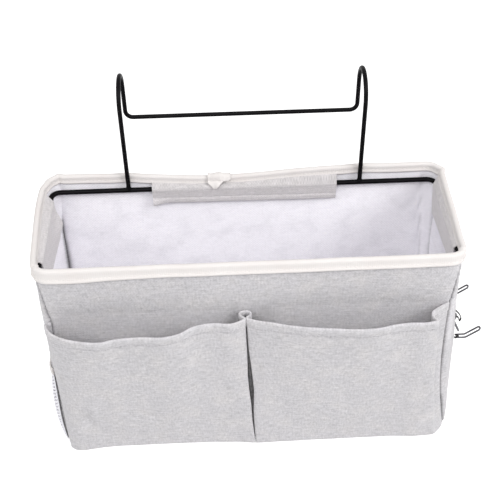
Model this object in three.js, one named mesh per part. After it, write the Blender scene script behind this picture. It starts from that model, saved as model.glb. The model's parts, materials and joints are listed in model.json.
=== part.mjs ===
// Bedside caddy: a stiffened cloth bag hung on a wire hoop, with a wire hanger for a bed rail,
// two front pockets, a net pocket on the left and three small wire hooks on the right.
// Millimetres, +Z up, the front faces -Y, the origin is the middle of the base's underside.
import * as THREE from 'three';
import { mergeVertices } from 'three/addons/utils/BufferGeometryUtils.js';

// Bag
const bagWidth = 320;
const bagDepth = 110;
const bagHeight = 210;
const clothThickness = 1.6;
const seamGap = 0.3;
const cornerRadius = 7;
const footRadius = 5;
const leftBulge = 0;
const rightBulge = 12;
const leftFootFlare = 4;
const rightFootFlare = 12;
const flareHeight = 140;
const flarePower = 1.3;

// Rim binding and its loose tail
const bindingThickness = 1;
const bindingOuterDrop = 11;
const bindingInnerDrop = 8;
const tailWidth = 16;
const tailCentre = -23;
const tailRise = 7;
const tailHang = 3.5;
const tailStartAngle = THREE.MathUtils.degToRad(100);

// Wire hoop under the rim
const hoopWire = 4;
const hoopDrop = 12.5;
const hoopCornerRadius = 7;

// Bent wire hanger
const hangerWire = 3.5;
const hangerSpacing = 187;
const hangerReach = 37;
const archCentreRise = 61;
const crossbarRise = 33;
const crossbarBendRadius = 6;

// Cloth sleeves round the hoop
const sleeveThickness = 0.8;
const sleeveDrop = 45;
const sleeveStartAngle = THREE.MathUtils.degToRad(150);
const rearTabWidth = 150;
const rearTabDrop = 29;
const rearTabHemStand = 1.2;

// Front pockets
const pocketCloth = 1.4;
const pocketFoot = 3;
const pocketHem = 156;
const pocketHemSag = 6;
const pocketBulge = 22;
const pocketEndPower = 8;
const pocketSwellPower = 1.3;
const pocketMiddleGap = 1;
const pocketSideMargin = 1;

// Net pocket
const netThickness = 1;
const netFoot = 6;
const netHeight = 86;
const netSideMargin = 4.7;
const netCell = 10;
const netStrand = 1.8;
const netSeat = 0.6;
const netBulge = 3;
const netMouth = 4.2;
const netHemHeight = 6;
const netHemThickness = 1.2;

// Side hooks and the tape loops that carry them
const hookWire = 1;
const hookStrandSpacing = 4.4;
const hookStraight = 5.2;
const hookRise = 13;
const hookBendRadius = 4;
const hookRootRadius = 1.2;
const hookRowHeight = 91;
const hookRowCentre = -2;
const hookPitch = 25;
const hookSeat = 1.75;
const hookBendAngle = THREE.MathUtils.degToRad(38);
const hangingAngle = THREE.MathUtils.degToRad(103);
const loopTape = 0.8;
const loopWidth = 2.8;
const tautLoop = { rise: 3.2, reach: 7, nose: 0, drop: 3.2 };
const slackLoop = { rise: 7, reach: 8.6, nose: -9.5, drop: 9.5 };

// How finely round stretches are divided
const footSteps = 4;
const riseSteps = 10;
const wallSteps = footSteps + riseSteps + 1;
const cornerSteps = 4;
const sideSteps = 10;
const rimSteps = 32;
const wireSides = 12;
const hookSides = 8;
const halfShare = 0.5;
const quarterTurn = Math.PI / 2;

// Sizes that follow from the ones above
const panelHalfWidth = bagWidth / 2 - bindingThickness - seamGap;
const panelHalfDepth = bagDepth / 2 - bindingThickness - seamGap;
const panelTop = bagHeight - bindingThickness - seamGap;
const seamX = panelHalfWidth - cornerRadius;
const sideStraightHalf = panelHalfDepth - cornerRadius;
const insideHalfWidth = panelHalfWidth - clothThickness;
const insideHalfDepth = panelHalfDepth - clothThickness;
const hoopHeight = bagHeight - hoopDrop;
const bulgeTop = hoopHeight;
const hoopInset = seamGap + bindingThickness + seamGap + hangerWire / 2;
const hoopHalfWidth = insideHalfWidth - hoopInset;
const hoopHalfDepth = insideHalfDepth - hoopInset;
const netWidth = 2 * (panelHalfDepth - netSideMargin);

// Finishes
const cloth = new THREE.MeshStandardMaterial({ color: 0xcfced3, roughness: 0.95, metalness: 0 });
const facingCloth = new THREE.MeshStandardMaterial({ color: 0xc6c4c2, roughness: 0.95, metalness: 0 });
const creamTape = new THREE.MeshStandardMaterial({ color: 0xf3efe9, roughness: 0.9, metalness: 0 });
const blackWire = new THREE.MeshStandardMaterial({ color: 0x161518, roughness: 0.35, metalness: 0.1 });
const brightWire = new THREE.MeshStandardMaterial({ color: 0xc9c9cb, roughness: 0.15, metalness: 1 });
const whiteNet = new THREE.MeshStandardMaterial({ color: 0xe9ebf4, roughness: 0.8, metalness: 0 });
const blackTape = new THREE.MeshStandardMaterial({ color: 0x1b1a1c, roughness: 0.9, metalness: 0 });

const caddy = new THREE.Group();

// Drops the shading attributes and joins the corners that faces share
function closedMesh(geometry) {
  geometry.deleteAttribute('normal');
  geometry.deleteAttribute('uv');
  const joined = mergeVertices(geometry);
  joined.computeVertexNormals();
  return joined;
}

function addPiece(name, geometry, material, parent = caddy) {
  const mesh = new THREE.Mesh(closedMesh(geometry), material);
  mesh.name = name;
  parent.add(mesh);
  return mesh;
}

// Moves each vertex of a geometry to the place that a function gives for it
function reshape(geometry, place) {
  const position = geometry.attributes.position;
  for (let index = 0; index < position.count; index += 1) {
    const moved = place(position.getX(index), position.getY(index), position.getZ(index));
    position.setXYZ(index, ...moved);
  }
  return geometry;
}

// A closed sheet of cloth: place(across, up, out) takes shares from 0 to 1
function sheet(acrossSteps, upSteps, place) {
  const block = new THREE.BoxGeometry(1, 1, 1, acrossSteps, upSteps, 1);
  return reshape(block, (x, y, z) => place(x + halfShare, y + halfShare, z + halfShare));
}

// The foot of the standing bag spreads sideways, most at the floor and more on the right
function flared(x, height) {
  const fadeShare = Math.max(1 - height / flareHeight, 0) ** flarePower;
  const footFlare = x > 0 ? rightFootFlare : leftFootFlare;
  return x + footFlare * fadeShare * x / panelHalfWidth;
}

// The side walls billow out between the corners, from the base up to the hoop
function bulgeAt(y, height, amount) {
  if (Math.abs(y) > sideStraightHalf || height > bulgeTop) {
    return 0;
  }
  return amount * Math.cos(quarterTurn * y / sideStraightHalf) * Math.sin(Math.PI * height / bulgeTop);
}

// A wall turns under the bag with a round foot; depth is measured inwards from its outer face
function wallProfile(upShare, depth) {
  const step = upShare * wallSteps;
  const bend = quarterTurn * Math.min(step / footSteps, 1);
  const riseShare = THREE.MathUtils.clamp((step - footSteps) / riseSteps, 0, 1);
  const edgeShare = Math.max(step - footSteps - riseSteps, 0);
  const radius = footRadius - depth;
  return {
    inset: footRadius - radius * Math.sin(bend),
    height: footRadius - radius * Math.cos(bend)
      + riseShare * (bulgeTop - footRadius) + edgeShare * (panelTop - bulgeTop),
  };
}

// Front wall with side -1, back wall with side 1
function longWall(side) {
  return sheet(2, wallSteps, (across, up, out) => {
    const { inset, height } = wallProfile(up, clothThickness * (1 - out));
    const x = -side * (across - halfShare) * (2 * seamX - seamGap);
    return [flared(x, height), side * (panelHalfDepth - inset), height];
  });
}

// Right wall with side 1, left wall with side -1: each wraps round both of its corners
function shortWall(side, bulge) {
  const routeSteps = cornerSteps + sideSteps + cornerSteps;
  return sheet(routeSteps, wallSteps, (along, up, out) => {
    const { inset, height } = wallProfile(up, clothThickness * (1 - out));
    const step = along * routeSteps;
    const firstTurn = Math.min(step / cornerSteps, 1);
    const lastTurn = Math.max(step - cornerSteps - sideSteps, 0) / cornerSteps;
    const runShare = THREE.MathUtils.clamp((step - cornerSteps) / sideSteps, 0, 1);
    const heading = quarterTurn * (firstTurn + lastTurn - 1);
    const runY = (runShare - halfShare) * 2 * sideStraightHalf;
    const cornerX = seamX + seamGap / 2 + (cornerRadius - seamGap / 2 - inset) * Math.cos(heading);
    const x = side * (cornerX + bulgeAt(runY, height, bulge));
    const y = side * (runY + (cornerRadius - inset) * Math.sin(heading));
    return [flared(x, height), y, height];
  });
}

function roundedRectangle(halfWidth, halfDepth, radius) {
  const shape = new THREE.Shape();
  shape.absarc(halfWidth - radius, halfDepth - radius, radius, 0, quarterTurn);
  shape.absarc(radius - halfWidth, halfDepth - radius, radius, quarterTurn, 2 * quarterTurn);
  shape.absarc(radius - halfWidth, radius - halfDepth, radius, 2 * quarterTurn, 3 * quarterTurn);
  shape.absarc(halfWidth - radius, radius - halfDepth, radius, 3 * quarterTurn, 4 * quarterTurn);
  return shape;
}

function basePanel() {
  const inset = footRadius + seamGap;
  const outline = roundedRectangle(panelHalfWidth - inset, panelHalfDepth - inset, cornerRadius - inset);
  const plate = new THREE.ExtrudeGeometry(outline, {
    depth: clothThickness,
    curveSegments: cornerSteps,
    bevelEnabled: false,
  });
  return reshape(plate, (x, y, z) => [flared(x, z), y, z]);
}

// A ring turned on a lathe at one corner's radius, then pulled out to a rounded rectangle
function cornerRing(profile, stretchX, stretchY) {
  const ring = new THREE.LatheGeometry(profile, rimSteps, Math.PI / rimSteps, 2 * Math.PI);
  ring.rotateX(quarterTurn);
  return reshape(ring, (x, y, z) => [x + Math.sign(x) * stretchX, y + Math.sign(y) * stretchY, z]);
}

// The binding is a folded tape: an outer leg, a rounded top and a shorter inner leg
function rimBinding() {
  const outer = cornerRadius + seamGap + bindingThickness;
  const inner = cornerRadius - clothThickness - seamGap - bindingThickness;
  const outerFoot = bagHeight - bindingOuterDrop;
  const innerFoot = bagHeight - bindingInnerDrop;
  const turnCentre = bagHeight - bindingThickness;
  const profile = [new THREE.Vector2(outer, outerFoot)];
  for (let step = 0; step <= footSteps; step += 1) {
    const angle = quarterTurn * step / footSteps;
    profile.push(new THREE.Vector2(
      outer - bindingThickness + bindingThickness * Math.cos(angle),
      turnCentre + bindingThickness * Math.sin(angle),
    ));
  }
  for (let step = 0; step <= footSteps; step += 1) {
    const angle = quarterTurn * (1 + step / footSteps);
    profile.push(new THREE.Vector2(
      inner + bindingThickness + bindingThickness * Math.cos(angle),
      turnCentre + bindingThickness * Math.sin(angle),
    ));
  }
  profile.push(new THREE.Vector2(inner, innerFoot));
  profile.push(new THREE.Vector2(inner + bindingThickness, innerFoot));
  profile.push(new THREE.Vector2(inner + bindingThickness, turnCentre));
  profile.push(new THREE.Vector2(outer - bindingThickness, turnCentre));
  profile.push(new THREE.Vector2(outer - bindingThickness, outerFoot));
  profile.push(profile[0].clone());
  return cornerRing(profile, seamX, sideStraightHalf);
}

function wireHoop() {
  const profile = [];
  for (let step = 0; step <= wireSides; step += 1) {
    const angle = 4 * quarterTurn * (step % wireSides) / wireSides;
    profile.push(new THREE.Vector2(
      hoopCornerRadius + hoopWire / 2 * Math.cos(angle),
      hoopHeight + hoopWire / 2 * Math.sin(angle),
    ));
  }
  return cornerRing(profile, hoopHalfWidth - hoopCornerRadius, hoopHalfDepth - hoopCornerRadius);
}

// A wire's centre line through chosen stations, with a ring of faces at each of them
class WireRoute extends THREE.Curve {
  constructor(stations) {
    super();
    this.stations = stations;
  }

  getPoint(share, target = new THREE.Vector3()) {
    const at = share * (this.stations.length - 1);
    const index = Math.min(Math.floor(at), this.stations.length - 2);
    return target.lerpVectors(this.stations[index], this.stations[index + 1], at - index);
  }

  getUtoTmapping(share) {
    return share;
  }
}

function openWire(stations, diameter) {
  const section = new THREE.Shape().absarc(0, 0, diameter / 2, 0, 4 * quarterTurn);
  return new THREE.ExtrudeGeometry(section, {
    steps: stations.length - 1,
    curveSegments: wireSides / 2,
    extrudePath: new WireRoute(stations),
  });
}

// One bent wire: an upright, an arch over the bed rail, the crossbar, and the same again mirrored
function hangerWireBody() {
  const x = hangerSpacing / 2;
  const archRadius = hangerReach / 2;
  const archHeight = bagHeight + archCentreRise;
  const crossbarHeight = bagHeight + crossbarRise;
  const half = [new THREE.Vector3(x, hoopHalfDepth, hoopHeight + hoopWire / 2 + seamGap)];
  const archSteps = 12;
  for (let step = 0; step <= archSteps; step += 1) {
    const angle = 2 * quarterTurn * step / archSteps;
    half.push(new THREE.Vector3(
      x,
      hoopHalfDepth + archRadius - archRadius * Math.cos(angle),
      archHeight + archRadius * Math.sin(angle),
    ));
  }
  const bendSteps = 5;
  for (let step = 0; step <= bendSteps; step += 1) {
    const angle = quarterTurn * step / bendSteps;
    half.push(new THREE.Vector3(
      x - crossbarBendRadius + crossbarBendRadius * Math.cos(angle),
      hoopHalfDepth + hangerReach,
      crossbarHeight + crossbarBendRadius - crossbarBendRadius * Math.sin(angle),
    ));
  }
  const mirrored = half.map((point) => new THREE.Vector3(-point.x, point.y, point.z)).reverse();
  return openWire([...half, ...mirrored], hangerWire);
}

// Places a profile drawn beside a wall: inward from its inner face, height, and run along the wall
const alongWall = {
  front: (inward, height, run) => [run, inward - insideHalfDepth, height],
  rear: (inward, height, run) => [-run, insideHalfDepth - inward, height],
  right: (inward, height, run) => [
    insideHalfWidth - inward + bulgeAt(run, height, rightBulge), run, height,
  ],
  left: (inward, height, run) => [
    inward - insideHalfWidth - bulgeAt(run, height, leftBulge), -run, height,
  ],
};

// Points round the hoop's centre line, from an angle on the wall side over the top to the front
function aroundHoop(radius, fromAngle, toAngle) {
  const points = [];
  const steps = 8;
  for (let step = 0; step <= steps; step += 1) {
    const angle = fromAngle + (toAngle - fromAngle) * step / steps;
    points.push(new THREE.Vector2(hoopInset + radius * Math.cos(angle), hoopHeight + radius * Math.sin(angle)));
  }
  return points;
}

// A profile carried along a wall; only the side walls billow, so only there it needs many steps
function strip(outline, wall, length, centre = 0) {
  const body = new THREE.ExtrudeGeometry(new THREE.Shape(outline), {
    depth: length,
    steps: wall === 'left' || wall === 'right' ? sideSteps : 1,
    bevelEnabled: false,
  });
  const place = alongWall[wall];
  return reshape(body, (inward, height, run) => place(inward, height, run - length / 2 + centre));
}

// A band of cloth that wraps over the hoop and is sewn to the wall below it
function hoopSleeve(wall, length, drop, hemStand) {
  const innerRadius = hoopWire / 2 + seamGap;
  const outerRadius = innerRadius + sleeveThickness;
  const hemHeight = bagHeight - drop;
  const leave = -Math.atan2(hoopInset, hoopHeight - hemHeight);
  const inside = aroundHoop(innerRadius, sleeveStartAngle, leave);
  const outside = aroundHoop(outerRadius, sleeveStartAngle, leave);
  const hangSteps = 4;
  const hangTo = (points, hemInward) => {
    const top = points[points.length - 1];
    const hem = new THREE.Vector2(hemInward, hemHeight);
    for (let step = 1; step <= hangSteps; step += 1) {
      points.push(top.clone().lerp(hem, step / hangSteps));
    }
  };
  hangTo(inside, seamGap + hemStand);
  hangTo(outside, seamGap + hemStand + sleeveThickness);
  return strip([...inside, ...outside.reverse()], wall, length);
}

// The loose end of the binding lies against the rim and then over the cloth tab at the back
function bindingTail() {
  const innerRadius = hoopWire / 2 + seamGap + sleeveThickness + seamGap;
  const top = hoopHeight + hoopWire / 2 + tailRise;
  const wallFace = seamGap + bindingThickness + seamGap;
  const inside = aroundHoop(innerRadius, tailStartAngle, 0);
  const outside = aroundHoop(innerRadius + sleeveThickness, tailStartAngle, 0);
  inside.unshift(new THREE.Vector2(wallFace, top), new THREE.Vector2(wallFace, inside[0].y));
  outside.unshift(new THREE.Vector2(wallFace + sleeveThickness, top));
  for (const side of [inside, outside]) {
    const last = side[side.length - 1];
    side.push(new THREE.Vector2(last.x, last.y - tailHang));
  }
  return strip([...inside, ...outside.reverse()], 'rear', tailWidth, -tailCentre);
}

// A front pocket's cloth swells from the base up to its hem and comes back to the wall at both ends
function frontPocket(fromX, toX) {
  const acrossSteps = 18;
  const upSteps = 8;
  return sheet(acrossSteps, upSteps, (across, up, out) => {
    const middleShare = 1 - Math.abs(2 * across - 1) ** pocketEndPower;
    const hem = pocketHem - pocketHemSag * middleShare;
    const height = pocketFoot + up * (hem - pocketFoot);
    const stand = seamGap + pocketBulge * middleShare * up ** pocketSwellPower + pocketCloth * out;
    return [flared(fromX + (toX - fromX) * across, height), -panelHalfDepth - stand, height];
  });
}

// How far the net stands off the left wall; the outer face of that wall is followed
function netPlace(run, height, out) {
  const acrossShare = 1 - (2 * run / netWidth) ** 2;
  const upShare = THREE.MathUtils.clamp((height - netFoot) / netHeight, 0, 1);
  const fullness = netBulge * Math.sin(Math.PI * upShare) + netMouth * upShare;
  const stand = netSeat + Math.max(acrossShare, 0) * fullness + out;
  const cornerRun = Math.max(Math.abs(run) - sideStraightHalf, 0);
  const cornerX = Math.sqrt(cornerRadius ** 2 - cornerRun ** 2);
  const x = seamX + cornerX + bulgeAt(run, height, leftBulge) + stand;
  return [flared(-x, height), -run, height];
}

// A network of four-sided faces given a thickness: each edge that only one face uses gets a side wall
function thickened(points, faces, thickness, place) {
  const corners = [];
  const put = (index, out) => corners.push(...place(points[index].x, points[index].y, out));
  const openEdges = new Map();
  for (const face of faces) {
    for (const corner of [0, 1, 2, 0, 2, 3]) {
      put(face[corner], thickness);
    }
    for (const corner of [0, 2, 1, 0, 3, 2]) {
      put(face[corner], 0);
    }
    face.forEach((from, corner) => {
      const to = face[(corner + 1) % face.length];
      if (!openEdges.delete(`${to} ${from}`)) {
        openEdges.set(`${from} ${to}`, [from, to]);
      }
    });
  }
  for (const [from, to] of openEdges.values()) {
    put(from, 0);
    put(to, 0);
    put(to, thickness);
    put(from, 0);
    put(to, thickness);
    put(from, thickness);
  }
  const body = new THREE.BufferGeometry();
  body.setAttribute('position', new THREE.Float32BufferAttribute(corners, 3));
  return body;
}

// A diamond net: a small four-cornered knot at each crossing, joined to the next ones by strands
function netPocket() {
  const columns = Math.round(netWidth / netCell);
  const rows = Math.round(netHeight / netCell);
  const stepX = (netWidth - netStrand) / (2 * columns);
  const stepY = (netHeight - netStrand) / (2 * rows);
  const points = [];
  const faces = [];
  const knots = new Map();
  for (let row = 0; row <= 2 * rows; row += 1) {
    for (let column = (row + 1) % 2; column <= 2 * columns; column += 2) {
      const x = (netStrand - netWidth) / 2 + stepX * column;
      const y = netFoot + netStrand / 2 + stepY * row;
      const [east, north, west, south] = [0, 1, 2, 3].map((corner) => points.length + corner);
      points.push(
        new THREE.Vector2(x + netStrand / 2, y),
        new THREE.Vector2(x, y + netStrand / 2),
        new THREE.Vector2(x - netStrand / 2, y),
        new THREE.Vector2(x, y - netStrand / 2),
      );
      const knot = { east, north, west, south };
      knots.set(`${row} ${column}`, knot);
      faces.push([east, north, west, south]);
      const lowerLeft = knots.get(`${row - 1} ${column - 1}`);
      if (lowerLeft) {
        faces.push([lowerLeft.north, lowerLeft.east, knot.south, knot.west]);
      }
      const lowerRight = knots.get(`${row - 1} ${column + 1}`);
      if (lowerRight) {
        faces.push([lowerRight.west, lowerRight.north, knot.east, knot.south]);
      }
    }
  }
  return thickened(points, faces, netThickness, netPlace);
}

function netHem() {
  const foot = netFoot + netHeight + seamGap;
  return sheet(sideSteps, 1, (across, up, out) => (
    netPlace((across - halfShare) * netWidth, foot + netHemHeight * up, netHemThickness * out)
  ));
}

// A point on a side hook's centre line: first straight out, then bent up and straight again
function hookPoint(along, y) {
  const bendLength = hookBendRadius * hookBendAngle;
  const turned = THREE.MathUtils.clamp((along - hookStraight) / hookBendRadius, 0, hookBendAngle);
  const before = Math.min(along, hookStraight);
  const after = Math.max(along - hookStraight - bendLength, 0);
  return new THREE.Vector3(
    before + hookBendRadius * Math.sin(turned) + after * Math.cos(turned),
    y,
    hookBendRadius * (1 - Math.cos(turned)) + after * Math.sin(turned),
  );
}

// A closed loop of wire: a root bar along Y at the origin, two strands and a round tip
function sideHook() {
  const half = hookStrandSpacing / 2;
  const bendLength = hookBendRadius * hookBendAngle;
  const tipCentre = hookStraight + bendLength + hookRise - half;
  const stations = [];
  const turn = (centre, y, radius, fromAngle, steps) => {
    for (let step = 0; step <= steps; step += 1) {
      const angle = fromAngle + quarterTurn * step / steps;
      stations.push(hookPoint(centre + radius * Math.cos(angle), y + radius * Math.sin(angle)));
    }
  };
  const turnSteps = 4;
  stations.push(hookPoint(0, 0));
  turn(hookRootRadius, hookRootRadius - half, hookRootRadius, 2 * quarterTurn, turnSteps);
  for (const bendShare of [0, halfShare, 1]) {
    stations.push(hookPoint(hookStraight + bendLength * bendShare, -half));
  }
  turn(tipCentre, 0, half, 3 * quarterTurn, turnSteps);
  stations.pop();
  turn(tipCentre, 0, half, 4 * quarterTurn, turnSteps);
  for (const bendShare of [1, halfShare, 0]) {
    stations.push(hookPoint(hookStraight + bendLength * bendShare, half));
  }
  turn(hookRootRadius, half - hookRootRadius, hookRootRadius, quarterTurn, turnSteps);
  const route = new WireRoute([...stations, stations[0].clone()]);
  return new THREE.TubeGeometry(route, stations.length, hookWire / 2, hookSides, true);
}

// A triangle's corners moved in by the tape's thickness, about the centre of its inscribed circle
function insetTriangle(corners, thickness) {
  const sides = corners.map((corner, index) => corners[(index + 1) % 3].distanceTo(corners[(index + 2) % 3]));
  const perimeter = sides[0] + sides[1] + sides[2];
  const centre = new THREE.Vector2();
  corners.forEach((corner, index) => centre.addScaledVector(corner, sides[index] / perimeter));
  const [a, b, c] = corners;
  const area = Math.abs((b.x - a.x) * (c.y - a.y) - (c.x - a.x) * (b.y - a.y)) / 2;
  const inscribed = 2 * area / perimeter;
  return corners.map((corner) => centre.clone().lerp(corner, 1 - thickness / inscribed));
}

// A tape loop sewn to the wall; the hook's root bar turns inside it
function tapeLoop({ rise, reach, nose, drop }) {
  const corners = [new THREE.Vector2(0, rise), new THREE.Vector2(0, -drop), new THREE.Vector2(reach, nose)];
  const outline = new THREE.Shape(corners);
  outline.holes.push(new THREE.Path(insetTriangle(corners, loopTape)));
  const loop = new THREE.ExtrudeGeometry(outline, { depth: loopWidth, bevelEnabled: false });
  loop.rotateX(quarterTurn);
  loop.translate(0, loopWidth / 2, 0);
  return loop;
}

// Cloth bag
addPiece('front_panel', longWall(-1), cloth);
addPiece('back_panel', longWall(1), cloth);
addPiece('left_side_panel', shortWall(-1, leftBulge), cloth);
addPiece('right_side_panel', shortWall(1, rightBulge), cloth);
addPiece('base_panel', basePanel(), cloth);
addPiece('rim_binding', rimBinding(), creamTape);
addPiece('binding_tail', bindingTail(), creamTape);

// Wire frame
addPiece('wire_hoop', wireHoop(), blackWire);
addPiece('hanger_wire', hangerWireBody(), blackWire);

// Sleeves that hold the hoop; its corners stay bare
const sideSleeveLength = 2 * (hoopHalfDepth - hoopCornerRadius);
const frontSleeveLength = 2 * (hoopHalfWidth - hoopCornerRadius);
addPiece('rear_hoop_tab', hoopSleeve('rear', rearTabWidth, rearTabDrop, rearTabHemStand), facingCloth);
addPiece('front_hoop_sleeve', hoopSleeve('front', frontSleeveLength, sleeveDrop, 0), facingCloth);
addPiece('left_hoop_sleeve', hoopSleeve('left', sideSleeveLength, sleeveDrop, 0), facingCloth);
addPiece('right_hoop_sleeve', hoopSleeve('right', sideSleeveLength, sleeveDrop, 0), facingCloth);

// Pockets
const pocketEnd = seamX - pocketSideMargin;
addPiece('left_front_pocket', frontPocket(-pocketEnd, -pocketMiddleGap / 2), cloth);
addPiece('right_front_pocket', frontPocket(pocketMiddleGap / 2, pocketEnd), cloth);
addPiece('net_pocket', netPocket(), whiteNet);
addPiece('net_pocket_hem', netHem(), whiteNet);

// Side hooks, front to back: the outer two stand raised and the middle one hangs in its slack loop
const sideHooks = [
  { name: 'front', row: -1, loop: tautLoop, angle: 0 },
  { name: 'middle', row: 0, loop: slackLoop, angle: hangingAngle },
  { name: 'rear', row: 1, loop: tautLoop, angle: 0 },
];
for (const { name, row, loop, angle } of sideHooks) {
  const y = hookRowCentre + row * hookPitch;
  const fullestY = Math.max(Math.abs(y) - loopWidth / 2, 0);
  const wallX = Math.max(...[-loop.drop, 0, loop.rise].map((step) => {
    const height = hookRowHeight + step;
    return flared(panelHalfWidth + bulgeAt(fullestY, height, rightBulge), height);
  }));
  const station = new THREE.Group();
  station.position.set(wallX + seamGap, y, hookRowHeight);
  caddy.add(station);
  addPiece(`${name}_hook_loop`, tapeLoop(loop), blackTape, station);
  const hook = addPiece(`${name}_side_hook`, sideHook(), brightWire, station);
  hook.position.x = hookSeat;
  hook.rotation.y = angle;
}

export default caddy;
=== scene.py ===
"""Looks of a cloth bedside caddy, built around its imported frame.

The bag hangs on a wire hoop under its bound rim, a wire hanger behind it goes over a bed rail, two pleated
pockets are sewn to its front, a net pocket to its left side and three small wire hooks to its right side.
Lengths are written in millimetres and become metres where a mesh is made.
"""

import json
import logging
import math
from collections.abc import Sequence
from dataclasses import dataclass, field
from enum import Enum
from typing import ClassVar

import bpy
import numpy as np
from mathutils import Matrix, Vector, noise


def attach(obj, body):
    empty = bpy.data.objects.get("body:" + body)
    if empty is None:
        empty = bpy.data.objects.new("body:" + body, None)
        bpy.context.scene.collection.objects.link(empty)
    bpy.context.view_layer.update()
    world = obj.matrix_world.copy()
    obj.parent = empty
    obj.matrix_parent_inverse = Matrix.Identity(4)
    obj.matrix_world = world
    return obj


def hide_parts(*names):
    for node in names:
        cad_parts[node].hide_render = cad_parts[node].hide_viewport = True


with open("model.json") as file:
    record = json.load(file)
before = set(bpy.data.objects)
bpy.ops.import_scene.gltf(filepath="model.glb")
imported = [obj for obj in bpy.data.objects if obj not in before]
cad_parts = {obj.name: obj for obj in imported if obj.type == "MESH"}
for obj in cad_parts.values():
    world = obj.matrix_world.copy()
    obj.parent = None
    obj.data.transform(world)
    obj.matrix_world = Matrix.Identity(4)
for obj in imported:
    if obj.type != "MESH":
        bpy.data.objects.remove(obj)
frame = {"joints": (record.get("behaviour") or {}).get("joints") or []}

LOG = logging.getLogger("caddy")
MM = 0.001
QUARTER_TURN = math.pi / 2
BAG_BODY = "bag"
# The mesh attribute that holds each point's painted shade; below zero it holds painted light.
PAINTED_SHADE = "painted_shade"
MATH = "ShaderNodeMath"

Stations = tuple[tuple[float, float], ...]


# Small tools for numbers, colours and nodes

def eased(share: np.ndarray | float) -> np.ndarray | float:
    """Turns a share from 0 to 1 into one that starts and ends gently."""
    held = np.clip(share, 0.0, 1.0)
    return held * held * (3.0 - 2.0 * held)


def bump_at(value: np.ndarray | float, centre: float, width: float) -> np.ndarray | float:
    """A smooth hump of height 1 at the centre, about that wide on each side."""
    return np.exp(-(((value - centre) / width) ** 2))


def soft_noise(points: np.ndarray, wavelength: float, seed: float) -> np.ndarray:
    """Smooth noise from -1 to 1 at each point, the same on every run.

    Args:
        points: Any array whose last axis holds x, y and z in millimetres.
        wavelength: Size of the waves in millimetres.
        seed: Shifts the noise, so that pieces differ.

    Returns:
        An array with the points' shape without its last axis.
    """
    flat = points.reshape(-1, 3) / wavelength
    values = [noise.noise(Vector((x + seed, y - seed, z + 2.0 * seed))) for x, y, z in flat]
    return np.array(values).reshape(points.shape[:-1])


def lengths_along(points: np.ndarray) -> np.ndarray:
    """The way from the first point to each of them, from point to point."""
    return np.concatenate([[0.0], np.cumsum(np.linalg.norm(np.diff(points, axis=0), axis=1))])


def linear(hex_colour: str) -> tuple[float, float, float, float]:
    """Turns an sRGB colour into Blender's linear one.

    Args:
        hex_colour: Six hex digits, such as "d0cfd4".

    Returns:
        Red, green, blue and a full alpha.
    """
    channels = [int(hex_colour[start:start + 2], 16) / 255.0 for start in (0, 2, 4)]
    red, green, blue = (c / 12.92 if c <= 0.04045 else ((c + 0.055) / 1.055) ** 2.4 for c in channels)
    return red, green, blue, 1.0


def set_inputs(node: bpy.types.Node, inputs: dict) -> None:
    """Gives a node's inputs their values and links.

    Args:
        node: The node.
        inputs: For each input's name or index, a value, the output socket that feeds it, or a node whose
            first output does.
    """
    for name, value in inputs.items():
        if isinstance(value, bpy.types.Node):
            value = value.outputs[0]
        if isinstance(value, bpy.types.NodeSocket):
            node.id_data.links.new(value, node.inputs[name])
        else:
            node.inputs[name].default_value = value


def add_node(tree: bpy.types.NodeTree, kind: str, inputs: dict | None = None, **settings) -> bpy.types.Node:
    """Adds a node with its settings, values and links.

    Args:
        tree: The node tree to add to.
        kind: The node's type, such as "ShaderNodeBump".
        inputs: As in set_inputs.
        **settings: Attributes of the node, such as operation="ADD".

    Returns:
        The new node.
    """
    node = tree.nodes.new(kind)
    for name, value in settings.items():
        setattr(node, name, value)
    set_inputs(node, inputs or {})
    return node


# Finishes

@dataclass(frozen=True)
class Finish:
    """What all finishes share: a name, a base colour in sRGB hex and the shader's constant values."""

    name: str
    colour: str
    roughness: float
    metallic: float = 0.0

    def material(self) -> bpy.types.Material:
        """Makes the Blender material, or finds it where it has been made.

        Returns:
            The material.
        """
        made = bpy.data.materials.get(self.name)
        if made:
            return made
        made = bpy.data.materials.new(self.name)
        made.use_nodes = True
        made.diffuse_color = linear(self.colour)
        tree = made.node_tree
        tree.nodes.clear()
        shader = add_node(tree, "ShaderNodeBsdfPrincipled", {
            "Base Color": linear(self.colour), "Roughness": self.roughness, "Metallic": self.metallic})
        add_node(tree, "ShaderNodeOutputMaterial", {"Surface": shader})
        self.dress(tree, shader)
        return made

    def dress(self, tree: bpy.types.NodeTree, shader: bpy.types.Node) -> None:
        """Adds this finish's own pattern.

        Args:
            tree: The material's nodes.
            shader: Its Principled shader.
        """
        raise NotImplementedError


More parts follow.
